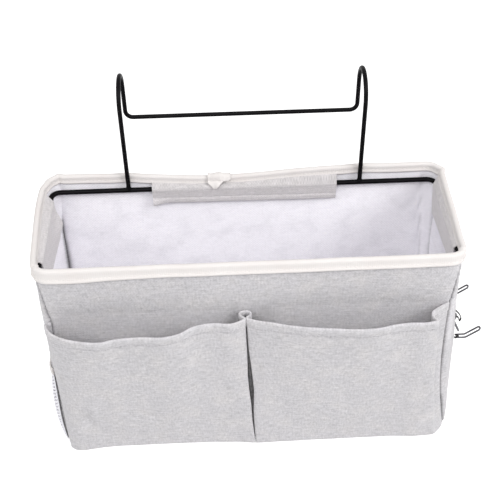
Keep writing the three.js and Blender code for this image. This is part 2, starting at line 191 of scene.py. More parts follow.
@dataclass(frozen=True)
class WovenCloth(Finish):
    """Plain-woven cotton and linen cloth: yarns cross over and under each other and vary in thickness.

    The weave is drawn in the piece's own UV map, which is in metres along and up the cloth.
    """

    yarn_pitch: float = 1.25
    yarn_shade: float = 0.1
    slub_width: float = 1.25
    slub_shade: float = 0.62
    cloud_shade: float = 0.1
    painted_shade_strength: float = 0.7
    relief: float = 0.22
    sheen: float = 0.25
    warm_tint: str = "cdc8c4"
    warm_share: float = 0.25

    def dress(self, tree: bpy.types.NodeTree, shader: bpy.types.Node) -> None:
        """Draws crossing yarns, slubs along both yarn directions, faint dye clouds, and painted shade and
        light.

        Args:
            tree: The material's nodes.
            shader: Its Principled shader.
        """
        place = add_node(tree, "ShaderNodeUVMap", uv_map="cloth")
        axes = add_node(tree, "ShaderNodeSeparateXYZ", {"Vector": place})
        turn = math.pi / (self.yarn_pitch * MM)
        waves = {}
        for index, axis in enumerate(("X", "Y")):
            angle = add_node(tree, MATH, {0: axes.outputs[axis], 1: turn}, operation="MULTIPLY")
            waves[index] = add_node(tree, MATH, {0: angle}, operation="SINE")
        crossing = add_node(tree, MATH, waves, operation="MULTIPLY")
        over = add_node(tree, MATH, {0: crossing, 1: 0.5, 2: 0.5}, operation="MULTIPLY_ADD")
        # Upright slubs first, then the longer ones that lie along the weft.
        slubs = {}
        for index, stretch in enumerate(((1.0, 0.36, 1.0), (0.2, 1.0, 1.0))):
            drawn = add_node(tree, "ShaderNodeMapping", {"Vector": place, "Scale": stretch})
            slubs[index] = add_node(tree, "ShaderNodeTexNoise", {
                "Vector": drawn, "Scale": 1.0 / (self.slub_width * self.yarn_pitch * MM),
                "Detail": 2.0, "Roughness": 0.6})
        yarns = add_node(tree, MATH, slubs, operation="ADD")
        clouds = add_node(tree, "ShaderNodeTexNoise", {"Vector": place, "Scale": 28.0, "Detail": 4.0})
        shade = add_node(tree, MATH, {
            0: over, 1: self.yarn_shade, 2: 1.0 - 0.5 * self.yarn_shade}, operation="MULTIPLY_ADD")
        # Each pattern lightens and darkens the cloth about its own mean value.
        for pattern, amount, mean in ((yarns, self.slub_shade, 1.0), (clouds, self.cloud_shade, 0.5)):
            centred = add_node(tree, MATH, {0: shade, 1: mean * amount}, operation="SUBTRACT")
            shade = add_node(tree, MATH, {0: pattern, 1: amount, 2: centred}, operation="MULTIPLY_ADD")
        # Each mesh marks its own painted shade in folds, seams and shaded places; below zero it is painted
        # light.
        painted_shade = add_node(tree, "ShaderNodeAttribute", attribute_name=PAINTED_SHADE).outputs["Fac"]
        shade = add_node(tree, MATH, {0: painted_shade, 1: -self.painted_shade_strength, 2: shade}, operation="MULTIPLY_ADD")
        tint = add_node(tree, "ShaderNodeTexNoise", {"Vector": place, "Scale": 55.0, "Detail": 5.0})
        warmth = add_node(tree, "ShaderNodeMapRange", {
            "Value": tint, "From Min": 0.45, "From Max": 0.7, "To Max": self.warm_share})
        base = add_node(tree, "ShaderNodeMix", {
            0: warmth, 6: linear(self.colour), 7: linear(self.warm_tint)}, data_type="RGBA")
        coloured = add_node(tree, "ShaderNodeVectorMath", {
            0: base.outputs[2], "Scale": shade}, operation="SCALE")
        height = add_node(tree, MATH, {0: over, 1: 0.3, 2: yarns}, operation="MULTIPLY_ADD")
        relief = add_node(tree, "ShaderNodeBump", {"Height": height, "Distance": self.relief * MM})
        set_inputs(shader, {
            "Base Color": coloured, "Normal": relief, "Sheen Weight": self.sheen, "Sheen Roughness": 0.6,
            "Specular IOR Level": 0.2})


@dataclass(frozen=True)
class CottonTape(Finish):
    """Bleached cotton tape: fine ribs across its length and a little soiling in its folds."""

    rib_pitch: float = 1.6
    rib_shade: float = 0.006
    relief: float = 0.012
    fold_colour: str = "d2cac7"

    def dress(self, tree: bpy.types.NodeTree, shader: bpy.types.Node) -> None:
        """Draws ribs across the tape and a warmer tone in clouds.

        Args:
            tree: The material's nodes.
            shader: Its Principled shader.
        """
        place = add_node(tree, "ShaderNodeUVMap", uv_map="cloth")
        axes = add_node(tree, "ShaderNodeSeparateXYZ", {"Vector": place})
        turn = 2 * math.pi / (self.rib_pitch * MM)
        angle = add_node(tree, MATH, {0: axes.outputs["X"], 1: turn}, operation="MULTIPLY")
        rib = add_node(tree, MATH, {0: angle}, operation="SINE")
        fuzz = add_node(tree, "ShaderNodeTexNoise", {"Vector": place, "Scale": 900.0, "Detail": 3.0})
        clouds = add_node(tree, "ShaderNodeTexNoise", {"Vector": place, "Scale": 45.0, "Detail": 3.0})
        share = add_node(tree, "ShaderNodeMapRange", {
            "Value": clouds, "From Min": 0.4, "From Max": 0.75, "To Max": 0.45})
        base = add_node(tree, "ShaderNodeMix", {
            0: share, 6: linear(self.colour), 7: linear(self.fold_colour)}, data_type="RGBA")
        mixed = add_node(tree, MATH, {0: fuzz, 1: 2.0, 2: rib}, operation="MULTIPLY_ADD")
        shade = add_node(tree, MATH, {
            0: mixed, 1: self.rib_shade, 2: 1.0 - self.rib_shade}, operation="MULTIPLY_ADD")
        coloured = add_node(tree, "ShaderNodeVectorMath", {
            0: base.outputs[2], "Scale": shade}, operation="SCALE")
        relief = add_node(tree, "ShaderNodeBump", {"Height": mixed, "Distance": self.relief * MM})
        set_inputs(shader, {
            "Base Color": coloured, "Normal": relief, "Sheen Weight": 0.2, "Specular IOR Level": 0.25})


@dataclass(frozen=True)
class CoatedWire(Finish):
    """Steel wire with a satin black powder coat: a fine orange-peel surface that dulls the highlight."""

    peel_size: float = 0.7
    relief: float = 0.02
    worn_colour: str = "100e11"

    def dress(self, tree: bpy.types.NodeTree, shader: bpy.types.Node) -> None:
        """Draws the orange peel and slightly paler worn spots.

        Args:
            tree: The material's nodes.
            shader: Its Principled shader.
        """
        place = add_node(tree, "ShaderNodeTexCoord").outputs["Object"]
        peel = add_node(tree, "ShaderNodeTexNoise", {
            "Vector": place, "Scale": 1.0 / (self.peel_size * MM), "Detail": 2.0})
        worn = add_node(tree, "ShaderNodeTexNoise", {"Vector": place, "Scale": 60.0, "Detail": 4.0})
        share = add_node(tree, "ShaderNodeMapRange", {"Value": worn, "From Min": 0.5, "From Max": 0.75})
        base = add_node(tree, "ShaderNodeMix", {
            0: share, 6: linear(self.colour), 7: linear(self.worn_colour)}, data_type="RGBA")
        gloss = add_node(tree, "ShaderNodeMapRange", {
            "Value": worn, "From Min": 0.3, "From Max": 0.7,
            "To Min": self.roughness - 0.06, "To Max": self.roughness + 0.08})
        relief = add_node(tree, "ShaderNodeBump", {"Height": peel, "Distance": self.relief * MM})
        set_inputs(shader, {
            "Base Color": base.outputs[2], "Roughness": gloss, "Normal": relief, "Specular IOR Level": 0.08})


@dataclass(frozen=True)
class NickelWire(Finish):
    """Drawn steel wire with bright nickel plating: fine drawing lines and a faint grey haze."""

    line_size: float = 0.12
    relief: float = 0.008
    haze_colour: str = "4b4a4e"

    def dress(self, tree: bpy.types.NodeTree, shader: bpy.types.Node) -> None:
        """Draws the haze and the fine lines.

        Args:
            tree: The material's nodes.
            shader: Its Principled shader.
        """
        place = add_node(tree, "ShaderNodeTexCoord").outputs["Object"]
        haze = add_node(tree, "ShaderNodeTexNoise", {"Vector": place, "Scale": 320.0, "Detail": 4.0})
        base = add_node(tree, "ShaderNodeMix", {
            0: haze, 6: linear(self.colour), 7: linear(self.haze_colour)}, data_type="RGBA")
        gloss = add_node(tree, "ShaderNodeMapRange", {
            "Value": haze, "From Min": 0.3, "From Max": 0.7,
            "To Min": self.roughness, "To Max": self.roughness + 0.14})
        lines = add_node(tree, "ShaderNodeTexNoise", {
            "Vector": place, "Scale": 1.0 / (self.line_size * MM), "Detail": 1.0})
        relief = add_node(tree, "ShaderNodeBump", {"Height": lines, "Distance": self.relief * MM})
        set_inputs(shader, {"Base Color": base.outputs[2], "Roughness": gloss, "Normal": relief})


@dataclass(frozen=True)
class SpunThread(Finish):
    """Twisted polyester thread: slanting plies give it a broken, slightly shiny surface."""

    ply_pitch: float = 0.5
    ply_shade: float = 0.25
    relief: float = 0.05

    def dress(self, tree: bpy.types.NodeTree, shader: bpy.types.Node) -> None:
        """Draws slanting plies that darken between them.

        Args:
            tree: The material's nodes.
            shader: Its Principled shader.
        """
        place = add_node(tree, "ShaderNodeTexCoord").outputs["Object"]
        plies = add_node(tree, "ShaderNodeTexWave", {
            "Vector": place, "Scale": math.pi / (10.0 * self.ply_pitch * MM), "Distortion": 1.5,
            "Detail": 1.0}, bands_direction="DIAGONAL")
        shade = add_node(tree, MATH, {
            0: plies.outputs["Fac"], 1: self.ply_shade, 2: 1.0 - self.ply_shade}, operation="MULTIPLY_ADD")
        coloured = add_node(tree, "ShaderNodeVectorMath", {
            0: linear(self.colour)[:3], "Scale": shade}, operation="SCALE")
        relief = add_node(tree, "ShaderNodeBump", {
            "Height": plies.outputs["Fac"], "Distance": self.relief * MM})
        set_inputs(shader, {"Base Color": coloured, "Normal": relief, "Sheen Weight": 0.15})


# Yarns of about 0.5 mm would blur at the photograph's 1.3 pixels to a millimetre, so the cloths are drawn
# with yarns twice as coarse as they really are.
LINEN_CLOTH = WovenCloth("grey_linen_plain_weave", "b8b6b9", 0.92)
# The inside is the same cloth under a thin white coating, which fills the weave and cools its tone.
COATED_LINING = WovenCloth(
    "coated_lining", "faf8fd", 0.7, yarn_shade=0.1, slub_shade=0.16, cloud_shade=0.06, relief=0.1,
    sheen=0.1, warm_tint="e0dee4", warm_share=0.4,
)
# The facings are uncoated cloth, a little browner than the bag.
FACING_CLOTH = WovenCloth(
    "facing_plain_weave", "d3cfd0", 0.92, yarn_pitch=1.1, yarn_shade=0.16, slub_shade=0.4, cloud_shade=0.08,
)
CREAM_TAPE = CottonTape("cream_cotton_tape", "d8d4d2", 0.85)
# The hooks' loops are black tape, and its near-black colour also stands in for the shade inside each loop,
# as painted shade.
BLACK_TAPE_AND_PAINTED_SHADE = CottonTape("black_tape_and_painted_shade", "1d1b1d", 0.85, rib_shade=0.1, fold_colour="262427")
BLACK_WIRE = CoatedWire("black_powder_coat", "060507", 0.42)
BRIGHT_WIRE = NickelWire("bright_nickel_plate", "6d6c70", 0.3, metallic=1.0)
NET_THREAD = SpunThread("white_net_thread", "faf9ff", 0.6)
PALE_THREAD = SpunThread("pale_sewing_thread", "cdcbcf", 0.6)
CREAM_THREAD = SpunThread("cream_sewing_thread", "e4dfdb", 0.6)
SEAM_THREAD = SpunThread("grey_seam_thread", "77757a", 0.7)


# Makers of meshes

def deselect_all() -> None:
    """Leaves edit mode and clears the selection."""
    if bpy.context.mode != "OBJECT":
        bpy.ops.object.mode_set(mode="OBJECT")
    bpy.ops.object.select_all(action="DESELECT")


def make_active(piece: bpy.types.Object) -> None:
    """Selects one object alone.

    Args:
        piece: The object.
    """
    deselect_all()
    piece.select_set(True)
    bpy.context.view_layer.objects.active = piece


def finish_piece(
    piece: bpy.types.Object, replaces: Sequence[str] = (), body: str = BAG_BODY,
    smooth_degrees: float = 60.0,
) -> bpy.types.Object:
    """Shades a piece, ties it to its body, and reports it.

    Args:
        piece: The finished object.
        replaces: The CAD nodes that it stands for.
        body: The CAD body that it rides on.
        smooth_degrees: Edges sharper than this stay sharp.

    Returns:
        The same object.
    """
    make_active(piece)
    bpy.ops.object.shade_smooth_by_angle(angle=math.radians(smooth_degrees))
    deselect_all()
    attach(piece, body)
    if replaces:
        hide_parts(*replaces)
    LOG.info("%s: %d vertices, %d faces", piece.name, len(piece.data.vertices), len(piece.data.polygons))
    return piece


def new_mesh_piece(
    name: str, points: np.ndarray, faces: Sequence[Sequence[int]], finishes: Sequence[Finish],
) -> bpy.types.Object:
    """Makes an object from points and faces.

    Args:
        name: The piece's name.
        points: Its points in millimetres.
        faces: Each face's corners, as indices of the points.
        finishes: Its finishes, in the order of its material slots.

    Returns:
        The object, linked to the scene.
    """
    mesh = bpy.data.meshes.new(name)
    mesh.from_pydata((np.asarray(points) * MM).tolist(), [], faces)
    for finish in finishes:
        mesh.materials.append(finish.material())
    piece = bpy.data.objects.new(name, mesh)
    bpy.context.scene.collection.objects.link(piece)
    return piece


@dataclass
class ClothGrid:
    """A stretch of cloth as rows of points on one of its faces, in millimetres.

    Seen from outside, columns run to the right and rows run up.

    Attributes:
        points: rows x columns x 3.
        uv: rows x columns x 2, the place on the flat cloth; one more column where it wraps.
        wraps: Whether the last column joins the first.
        creases_and_painted_shade: rows x columns, the painted shade at each point; below zero it is painted
            light.
    """

    points: np.ndarray
    uv: np.ndarray
    wraps: bool = False
    creases_and_painted_shade: np.ndarray | None = None

    def normals(self) -> np.ndarray:
        """Finds the cloth's outward side.

        Returns:
            A unit normal for every point.
        """
        if self.wraps:
            along = np.roll(self.points, -1, axis=1) - np.roll(self.points, 1, axis=1)
        else:
            along = np.gradient(self.points, axis=1)
        upward = np.gradient(self.points, axis=0)
        across = np.cross(along, upward)
        return across / np.maximum(np.linalg.norm(across, axis=2, keepdims=True), 1e-9)

    def moved_out(self, distance: np.ndarray) -> "ClothGrid":
        """The same cloth with every point moved along its normal."""
        moved = self.points + self.normals() * distance[..., None]
        return ClothGrid(moved, self.uv, self.wraps, self.creases_and_painted_shade)

    def solid(
        self, name: str, thickness: float | np.ndarray, finishes: Sequence[Finish],
        outside_share: float = 0.5, round_steps: int = 4,
    ) -> bpy.types.Object:
        """Gives the cloth a thickness, with round edges above and below.

        Args:
            name: The piece's name.
            thickness: One thickness, or one for each point.
            finishes: The outer face's finish, and the inner face's if it differs.
            outside_share: How much of the thickness lies outside the points.
            round_steps: How many faces turn round an edge.

        Returns:
            A closed mesh object.
        """
        rows, columns = self.points.shape[:2]
        thick = np.broadcast_to(np.asarray(thickness, float), (rows, columns))[..., None]
        normals = self.normals()
        outer = self.points + normals * thick * outside_share
        inner = self.points - normals * thick * (1.0 - outside_share)
        layers, uv = [outer], [self.uv]
        creases_and_painted_shade = np.zeros((rows, columns)) if self.creases_and_painted_shade is None else self.creases_and_painted_shade
        marks = [creases_and_painted_shade]
        for end, beside in ((-1, -2), (0, 1)):
            middle = (outer[end] + inner[end]) / 2
            leave = self.points[end] - self.points[beside]
            leave /= np.maximum(np.linalg.norm(leave, axis=1, keepdims=True), 1e-9)
            turned = []
            for step in range(1, round_steps):
                angle = math.pi * step / round_steps
                side = math.cos(angle) if end == -1 else -math.cos(angle)
                turned.append(middle + thick[end] / 2 * (
                    normals[end] * side + leave * math.sin(angle)))
            layers.append(np.stack(turned))
            uv.append(np.repeat(self.uv[end][None], round_steps - 1, axis=0))
            marks.append(np.repeat(creases_and_painted_shade[end][None], round_steps - 1, axis=0))
            if end == -1:
                layers.append(inner[::-1])
                uv.append(self.uv[::-1])
                marks.append(creases_and_painted_shade[::-1])
        points = np.concatenate(layers)
        places = np.concatenate(uv)
        piece = self._closed(name, points, places, rows, round_steps, finishes)
        layer = piece.data.attributes.new(PAINTED_SHADE, "FLOAT", "POINT")
        layer.data.foreach_set("value", np.concatenate(marks).ravel().astype(np.float32))
        return piece

    def _closed(
        self, name: str, points: np.ndarray, places: np.ndarray, rows: int, round_steps: int,
        finishes: Sequence[Finish],
    ) -> bpy.types.Object:
        """Joins the layers' rows into one closed mesh with a UV map.

        Args:
            name: The piece's name.
            points: All rows in order: the outer face, the upper edge, the inner face and the lower edge.
            places: Each point's place on the flat cloth.
            rows: How many rows the outer face has.
            round_steps: How many faces turn round an edge.
            finishes: The outer face's finish, and the inner face's if it differs.

        Returns:
            The mesh object.
        """
        total, columns = points.shape[:2]
        steps = columns if self.wraps else columns - 1
        faces, corners, inside = [], [], []
        first_inner, last_inner = rows + round_steps - 1, 2 * rows + round_steps - 2
        for row in range(total):
            above = (row + 1) % total
            is_inner = first_inner <= row < last_inner
            for column in range(steps):
                beside = (column + 1) % columns
                faces.append((
                    row * columns + column, row * columns + beside,
                    above * columns + beside, above * columns + column))
                corners += [places[row, column], places[row, column + 1],
                            places[above, column + 1], places[above, column]]
                inside.append(is_inner)
        if not self.wraps:
            for column, flip in ((0, False), (columns - 1, True)):
                loops = [[row, row + 1, 2 * rows + round_steps - 3 - row, 2 * rows + round_steps - 2 - row]
                         for row in range(rows - 1)]
                loops.append(list(range(rows - 1, first_inner + 1)))
                loops.append(list(range(last_inner, total)) + [0])
                for loop in loops:
                    ordered = loop[::-1] if flip else loop
                    faces.append(tuple(row * columns + column for row in ordered))
                    corners += [places[row, column] for row in ordered]
                    inside.append(False)
        piece = new_mesh_piece(name, points.reshape(-1, 3), faces, finishes)
        layer = piece.data.uv_layers.new(name="cloth")
        layer.data.foreach_set("uv", (np.array(corners) * MM).ravel().astype(np.float32))
        if len(finishes) > 1:
            piece.data.polygons.foreach_set("material_index", np.array(inside, dtype=np.int32))
        make_active(piece)
        bpy.ops.object.mode_set(mode="EDIT")
        bpy.ops.mesh.select_all(action="SELECT")
        bpy.ops.mesh.normals_make_consistent(inside=False)
        deselect_all()
        return piece


def measured_uv(points: np.ndarray, wraps: bool = False) -> np.ndarray:
    """A cloth's flat places: along its widest row, and up its middle column.

    Args:
        points: rows x columns x 3.
        wraps: Whether the last column joins the first.

    Returns:
        rows x columns x 2, with one more column where it wraps.
    """
    closed = np.concatenate([points, points[:, :1]], axis=1) if wraps else points
    steps = np.linalg.norm(np.diff(closed, axis=1), axis=2).max(axis=0)
    along = np.concatenate([[0.0], np.cumsum(steps)])
    upward = lengths_along(points[:, points.shape[1] // 2])
    return np.stack(np.meshgrid(along, upward), axis=2)


class WireBender:
    """Feeds a round wire forward and bends it, as a wire former does."""

    def __init__(
        self, name: str, start: Vector, heading: Vector, diameter: float, sides: int = 18,
        turned: Matrix | None = None,
    ) -> None:
        """Starts the wire.

        Args:
            name: The piece's name.
            start: Where the centre line starts, in millimetres.
            heading: The direction it starts in, before it is turned.
            diameter: The wire's diameter.
            sides: How many faces go round it.
            turned: A rotation that all directions go through.
        """
        self.turned = turned or Matrix.Identity(3)
        self.place = Vector(start)
        self.heading = (self.turned @ Vector(heading)).normalized()
        deselect_all()
        bpy.ops.mesh.primitive_circle_add(
            vertices=sides, radius=diameter / 2 * MM, fill_type="NOTHING", location=self.place * MM,
            rotation=self.heading.to_track_quat("Z", "Y").to_euler())
        self.piece = bpy.context.object
        self.piece.name = name
        self.piece.data.name = name
        bpy.ops.object.transform_apply(location=True, rotation=True, scale=True)
        bpy.ops.object.mode_set(mode="EDIT")
        bpy.ops.mesh.select_all(action="SELECT")

    def feed(self, length: float, steps: int = 1) -> "WireBender":
        """Pushes the wire straight on.

        Args:
            length: How far.
            steps: In how many lengths.

        Returns:
            The bender itself, so that moves can follow each other.
        """
        for _ in range(steps):
            move = self.heading * (length / steps)
            bpy.ops.mesh.extrude_region_move(TRANSFORM_OT_translate={"value": move * MM})
            self.place += move
        return self

    def bend(self, radius: float, degrees: float, axis: Vector, steps: int = 8) -> "WireBender":
        """Bends the wire round an axis, by the right-hand rule.

        Args:
            radius: Of the centre line.
            degrees: How far round.
            axis: The axis's direction, before it is turned.
            steps: In how many steps.

        Returns:
            The bender itself.
        """
        about = (self.turned @ Vector(axis)).normalized()
        centre = self.place + about.cross(self.heading) * radius
        bpy.ops.mesh.spin(
            steps=steps, angle=-math.radians(degrees), center=centre * MM, axis=about,
            use_auto_merge=False)
        turn = Matrix.Rotation(math.radians(degrees), 3, about)
        self.place = centre + turn @ (self.place - centre)
        self.heading = turn @ self.heading
        return self

    def finished(self, finish: Finish, closes: bool) -> bpy.types.Object:
        """Joins the ends of a closed wire, or puts flat ends on an open one.

        Args:
            finish: The wire's finish.
            closes: Whether the wire comes back to its start.

        Returns:
            The wire's object.
        """
        bpy.ops.mesh.select_all(action="SELECT")
        bpy.ops.mesh.remove_doubles(threshold=0.02 * MM)
        if not closes:
            bpy.ops.mesh.select_all(action="DESELECT")
            bpy.ops.mesh.select_mode(type="EDGE")
            bpy.ops.mesh.select_non_manifold()
            bpy.ops.mesh.edge_face_add()
        bpy.ops.mesh.select_all(action="SELECT")
        bpy.ops.mesh.normals_make_consistent(inside=False)
        bpy.ops.object.mode_set(mode="OBJECT")
        self.piece.data.materials.append(finish.material())
        deselect_all()
        return self.piece


@dataclass
class Stitching:
    """A row of machine stitches: one stitch is bent from thread, and copied along the seam."""

    length: float = 2.3
    gap: float = 0.9
    thread: float = 0.5
    sides: int = 6
    lean_degrees: float = 34.0
    sunk_share: float = 0.55

    def one_stitch(self) -> tuple[np.ndarray, list[tuple[int, ...]]]:
        """Bends one arched stitch along X, sunk at both ends, and takes its mesh.

        Returns:
            Its points in millimetres, and its faces.
        """
        lean = math.radians(self.lean_degrees)
        radius = self.length / 2 / math.sin(lean)
        sunk = Vector((-self.length / 2, 0, -self.thread * self.sunk_share))
        heading = Vector((math.cos(lean), 0, math.sin(lean)))
        bender = WireBender("stitch", sunk, heading, self.thread, self.sides)
        bender.bend(radius, 2 * math.degrees(lean), Vector((0, 1, 0)), steps=4)
        stitch = bender.finished(SEAM_THREAD, closes=False)
        mesh = stitch.data
        points = np.array([tuple(v.co) for v in mesh.vertices]) / MM
        faces = [tuple(face.vertices) for face in mesh.polygons]
        bpy.data.objects.remove(stitch)
        bpy.data.meshes.remove(mesh)
        return points, faces

    def sew(
        self, name: str, path: np.ndarray, outward: np.ndarray, finish: Finish, closed: bool = False,
    ) -> bpy.types.Object:
        """Sews stitches along a path.

        Args:
            name: The piece's name.
            path: The seam's points in millimetres.
            outward: The cloth's outward normal at each of them.
            finish: The thread's finish.
            closed: Whether the path comes back to its start.

        Returns:
            One object with all of the row's stitches.
        """
        if closed:
            path = np.concatenate([path, path[:1]])
            outward = np.concatenate([outward, outward[:1]])
        along = lengths_along(path)
        count = max(int(along[-1] / (self.length + self.gap)), 1)
        pitch = along[-1] / count
        points, faces = self.one_stitch()
        all_points, all_faces = [], []
        for index in range(count):
            middle = (index + 0.5) * pitch
            spots = (middle - self.length / 2, middle, middle + self.length / 2)
            at = [np.array([np.interp(s, along, path[:, k]) for k in range(3)]) for s in spots]
            forward = at[2] - at[0]
            forward /= max(np.linalg.norm(forward), 1e-9)
            up = np.array([np.interp(middle, along, outward[:, k]) for k in range(3)])
            up -= forward * np.dot(up, forward)
            up /= max(np.linalg.norm(up), 1e-9)
            side = np.cross(up, forward)
            turned = points @ np.stack([forward, side, up]) + at[1]
            offset = len(all_points) * len(points)
            all_points.append(turned)
            all_faces += [tuple(corner + offset for corner in face) for face in faces]
        return new_mesh_piece(name, np.concatenate(all_points), all_faces, [finish])


# The bag's form, which every cloth piece follows

class Seam(Enum):
    """The four upright seams, in the order of the walls' columns."""

    FRONT_LEFT = 0
    FRONT_RIGHT = 1
    BACK_RIGHT = 2
    BACK_LEFT = 3


@dataclass
class BagForm:
    """The outer face of the bag's cloth: a rounded rectangle at each height.

    The side walls billow, the lower corners are pushed out and rounder, and the rim sags at the front.
    """

    half_width: float = 158.7
    half_depth: float = 53.7
    wall_top: float = 208.7
    rim_top: float = 210.0
    corner_radius: float = 7.0
    rim_corner_growth: float = 5.0
    foot_corner_growth: float = 11.0
    foot_corner_reach: float = 50.0
    rim_corner_start: float = 150.0
    foot_radius: float = 5.0
    bulge_top: float = 197.5
    right_bulge: float = 12.0
    left_rim_bulge: float = 3.0
    left_rim_centre: float = 10.0
    right_flare: float = 12.0
    left_flare: float = 4.0
    flare_height: float = 140.0
    flare_power: float = 1.3
    front_rim_drop: float = 4.0
    rear_rim_rise: float = 2.0
    rear_rim_dip: float = 6.0
    rear_dip_centre: float = -22.0
    rear_dip_width: float = 62.0
    upright_x: float = 93.5
    ring_points: int = 1200
    long_wall_points: int = 121
    side_wall_points: int = 61

    def flare(self, x: np.ndarray, height: float) -> np.ndarray:
        """How far the walls are pushed out sideways at a height.

        Args:
            x: The points' x on the straight outline.
            height: Height above the floor.

        Returns:
            What is added to each x.
        """
        fade = max(1 - height / self.flare_height, 0) ** self.flare_power
        share = x / self.half_width
        return fade * (self.right_flare * np.maximum(share, 0) + self.left_flare * np.minimum(share, 0))

    def bulge(self, run: np.ndarray | float, height: float, side: int) -> np.ndarray | float:
        """How far the left wall (side -1) or the right one (side 1) billows out.

        Args:
            run: Place along the wall, as y.
            height: Height above the floor.
            side: Which wall.

        Returns:
            The distance out from the straight wall.
        """
        straight = self.half_depth - self.corner_radius
        if side > 0:
            across = np.cos(QUARTER_TURN * np.clip(run / straight, -1, 1))
            return self.right_bulge * math.sin(math.pi * min(height / self.bulge_top, 1.0)) * across
        # The left wall is straight, and only comes out a little towards its rim.
        across = np.cos(QUARTER_TURN * np.clip((run - self.left_rim_centre) / (straight + 10.0), -1, 1))
        return self.left_rim_bulge * float(eased((height - 105.0) / 85.0)) * across

    def side_x(self, run: np.ndarray | float, height: float, side: int) -> np.ndarray | float:
        """The outer face of the left wall (side -1) or right wall (side 1) between its corners."""
        x = side * (self.half_width + self.bulge(run, height, side))
        return x + self.flare(x, height)

    def seam_turn(self, seam: Seam, height: float) -> float:
        """How far round its corner a seam has slipped from the long wall.

        Args:
            seam: Which seam.
            height: Height above the floor.

        Returns:
            An angle in radians.
        """
        # Near the rim both front seams slip on.
        rounded = math.radians(60) * min(max((height - 158.0) / 37.0, 0.0), 1.0) ** 0.8
        if seam is Seam.FRONT_LEFT:
            return math.radians(48) * float(eased((157 - height) / 60)) + rounded
        if seam is Seam.FRONT_RIGHT:
            drawn_in = math.radians(3) * float(bump_at(height, 75.0, 38.0))
            return math.radians(62) * max(1 - height / 48, 0) - drawn_in + rounded
        return math.radians(78 if seam is Seam.BACK_RIGHT else 10)

    def ring(self, height: float, inset: float) -> tuple[np.ndarray, list[float]]:
        """The bag's outline at a height, anticlockwise from above, starting at the front left corner.

        Args:
            height: The nominal height.
            inset: How far the outline is drawn in, as where the foot turns under.

        Returns:
            Evenly spaced points x, y, and each seam's place along them as a share of the whole.
        """
        half_w, half_d = self.half_width - inset, self.half_depth - inset
        growth = self.foot_corner_growth * max(1 - height / self.foot_corner_reach, 0) ** 2
        growth += self.rim_corner_growth * float(eased((height - self.rim_corner_start) / 50))
        radius = max(self.corner_radius + growth - inset, 2.5)
        run_w, run_d = half_w - radius, half_d - radius
        arc = np.linspace(0, QUARTER_TURN, 25)
        parts = []
        centres = ((-run_w, -run_d), (run_w, -run_d), (run_w, run_d), (-run_w, run_d))
        for turn, (cx, cy) in enumerate(centres):
            angle = arc + math.pi + turn * QUARTER_TURN
            parts.append(np.stack([cx + radius * np.cos(angle), cy + radius * np.sin(angle)], axis=1))
        side_run = np.linspace(-run_d, run_d, self.side_wall_points)[1:-1]
        long_run = np.linspace(-run_w, run_w, self.long_wall_points)[1:-1]
        front = np.stack([long_run, np.full_like(long_run, -half_d)], axis=1)
        right = np.stack([half_w + self.bulge(side_run, height, 1), side_run], axis=1)
        back = np.stack([-long_run, np.full_like(long_run, half_d)], axis=1)
        left = np.stack([-half_w - self.bulge(-side_run, height, -1), -side_run], axis=1)
        pieces = [parts[0], front, parts[1], right, parts[2], back, parts[3], left]
        raw = np.concatenate(pieces)
        raw[:, 0] += self.flare(raw[:, 0], height)
        closed = np.concatenate([raw, raw[:1]])
        along = lengths_along(closed)
        starts = np.cumsum([0] + [len(piece) for piece in pieces])
        seams = []
        for seam in Seam:
            turned = self.seam_turn(seam, height) / QUARTER_TURN
            if seam in (Seam.FRONT_LEFT, Seam.BACK_RIGHT):
                turned = 1 - turned
            index = starts[2 * seam.value] + turned * (len(arc) - 1)
            seams.append(float(np.interp(index, np.arange(len(along)), along) / along[-1]))
        even = np.linspace(0, along[-1], self.ring_points, endpoint=False)
        ring = np.stack([np.interp(even, along, closed[:, k]) for k in range(2)], axis=1)
        reach = 6
        window = np.hanning(2 * reach + 3)[1:-1]
        window /= window.sum()
        padded = np.concatenate([ring[-reach:], ring, ring[:reach]])
        smooth = np.stack([np.convolve(padded[:, k], window, mode="valid") for k in range(2)], axis=1)
        return smooth, seams

    def rim_rise(self, x: np.ndarray, y: np.ndarray) -> np.ndarray:
        """How far the rim stands above its nominal height.

        Args:
            x: Where on the rim.
            y: The same.

        Returns:
            The rise there, below zero where the rim sags.
        """
        front = -self.front_rim_drop + 0.4 * x / self.half_width
        dip = self.rear_rim_dip * bump_at(x, self.rear_dip_centre, self.rear_dip_width)
        peaks = 0.9 * (bump_at(x, -self.upright_x, 10) + bump_at(x, self.upright_x, 10))
        rear = self.rear_rim_rise - dip + peaks
        return front + (rear - front) * eased((y / self.half_depth + 1) / 2)

    def lifted(self, points: np.ndarray) -> np.ndarray:
        """Moves points up or down with the rim, fully at the top and not at all below the pockets' hem.

        Args:
            points: Points of the walls.

        Returns:
            The moved points.
        """
        share = eased((points[..., 2] - 120.0) / 80.0)
        moved = points.copy()
        moved[..., 2] += share * self.rim_rise(points[..., 0], points[..., 1])
        return moved


def graded_shares(length: float, near: float, far: float, reach: float) -> np.ndarray:
    """Places from 0 up to 1, close together near both ends and wider apart in the middle.

    Args:
        length: The stretch's length in millimetres.
        near: The spacing at the ends.
        far: The widest spacing.
        reach: How far from an end the widest spacing is reached.

    Returns:
        Shares that start at 0 and stop short of 1.
    """
    half = [0.0]
    while half[-1] < length / 2:
        half.append(half[-1] + near + (far - near) * min(half[-1] / reach, 1.0))
    first = np.array(half) * (length / 2 / half[-1])
    whole = np.concatenate([first, length - first[-2::-1]])
    return whole[:-1] / length


# The bag

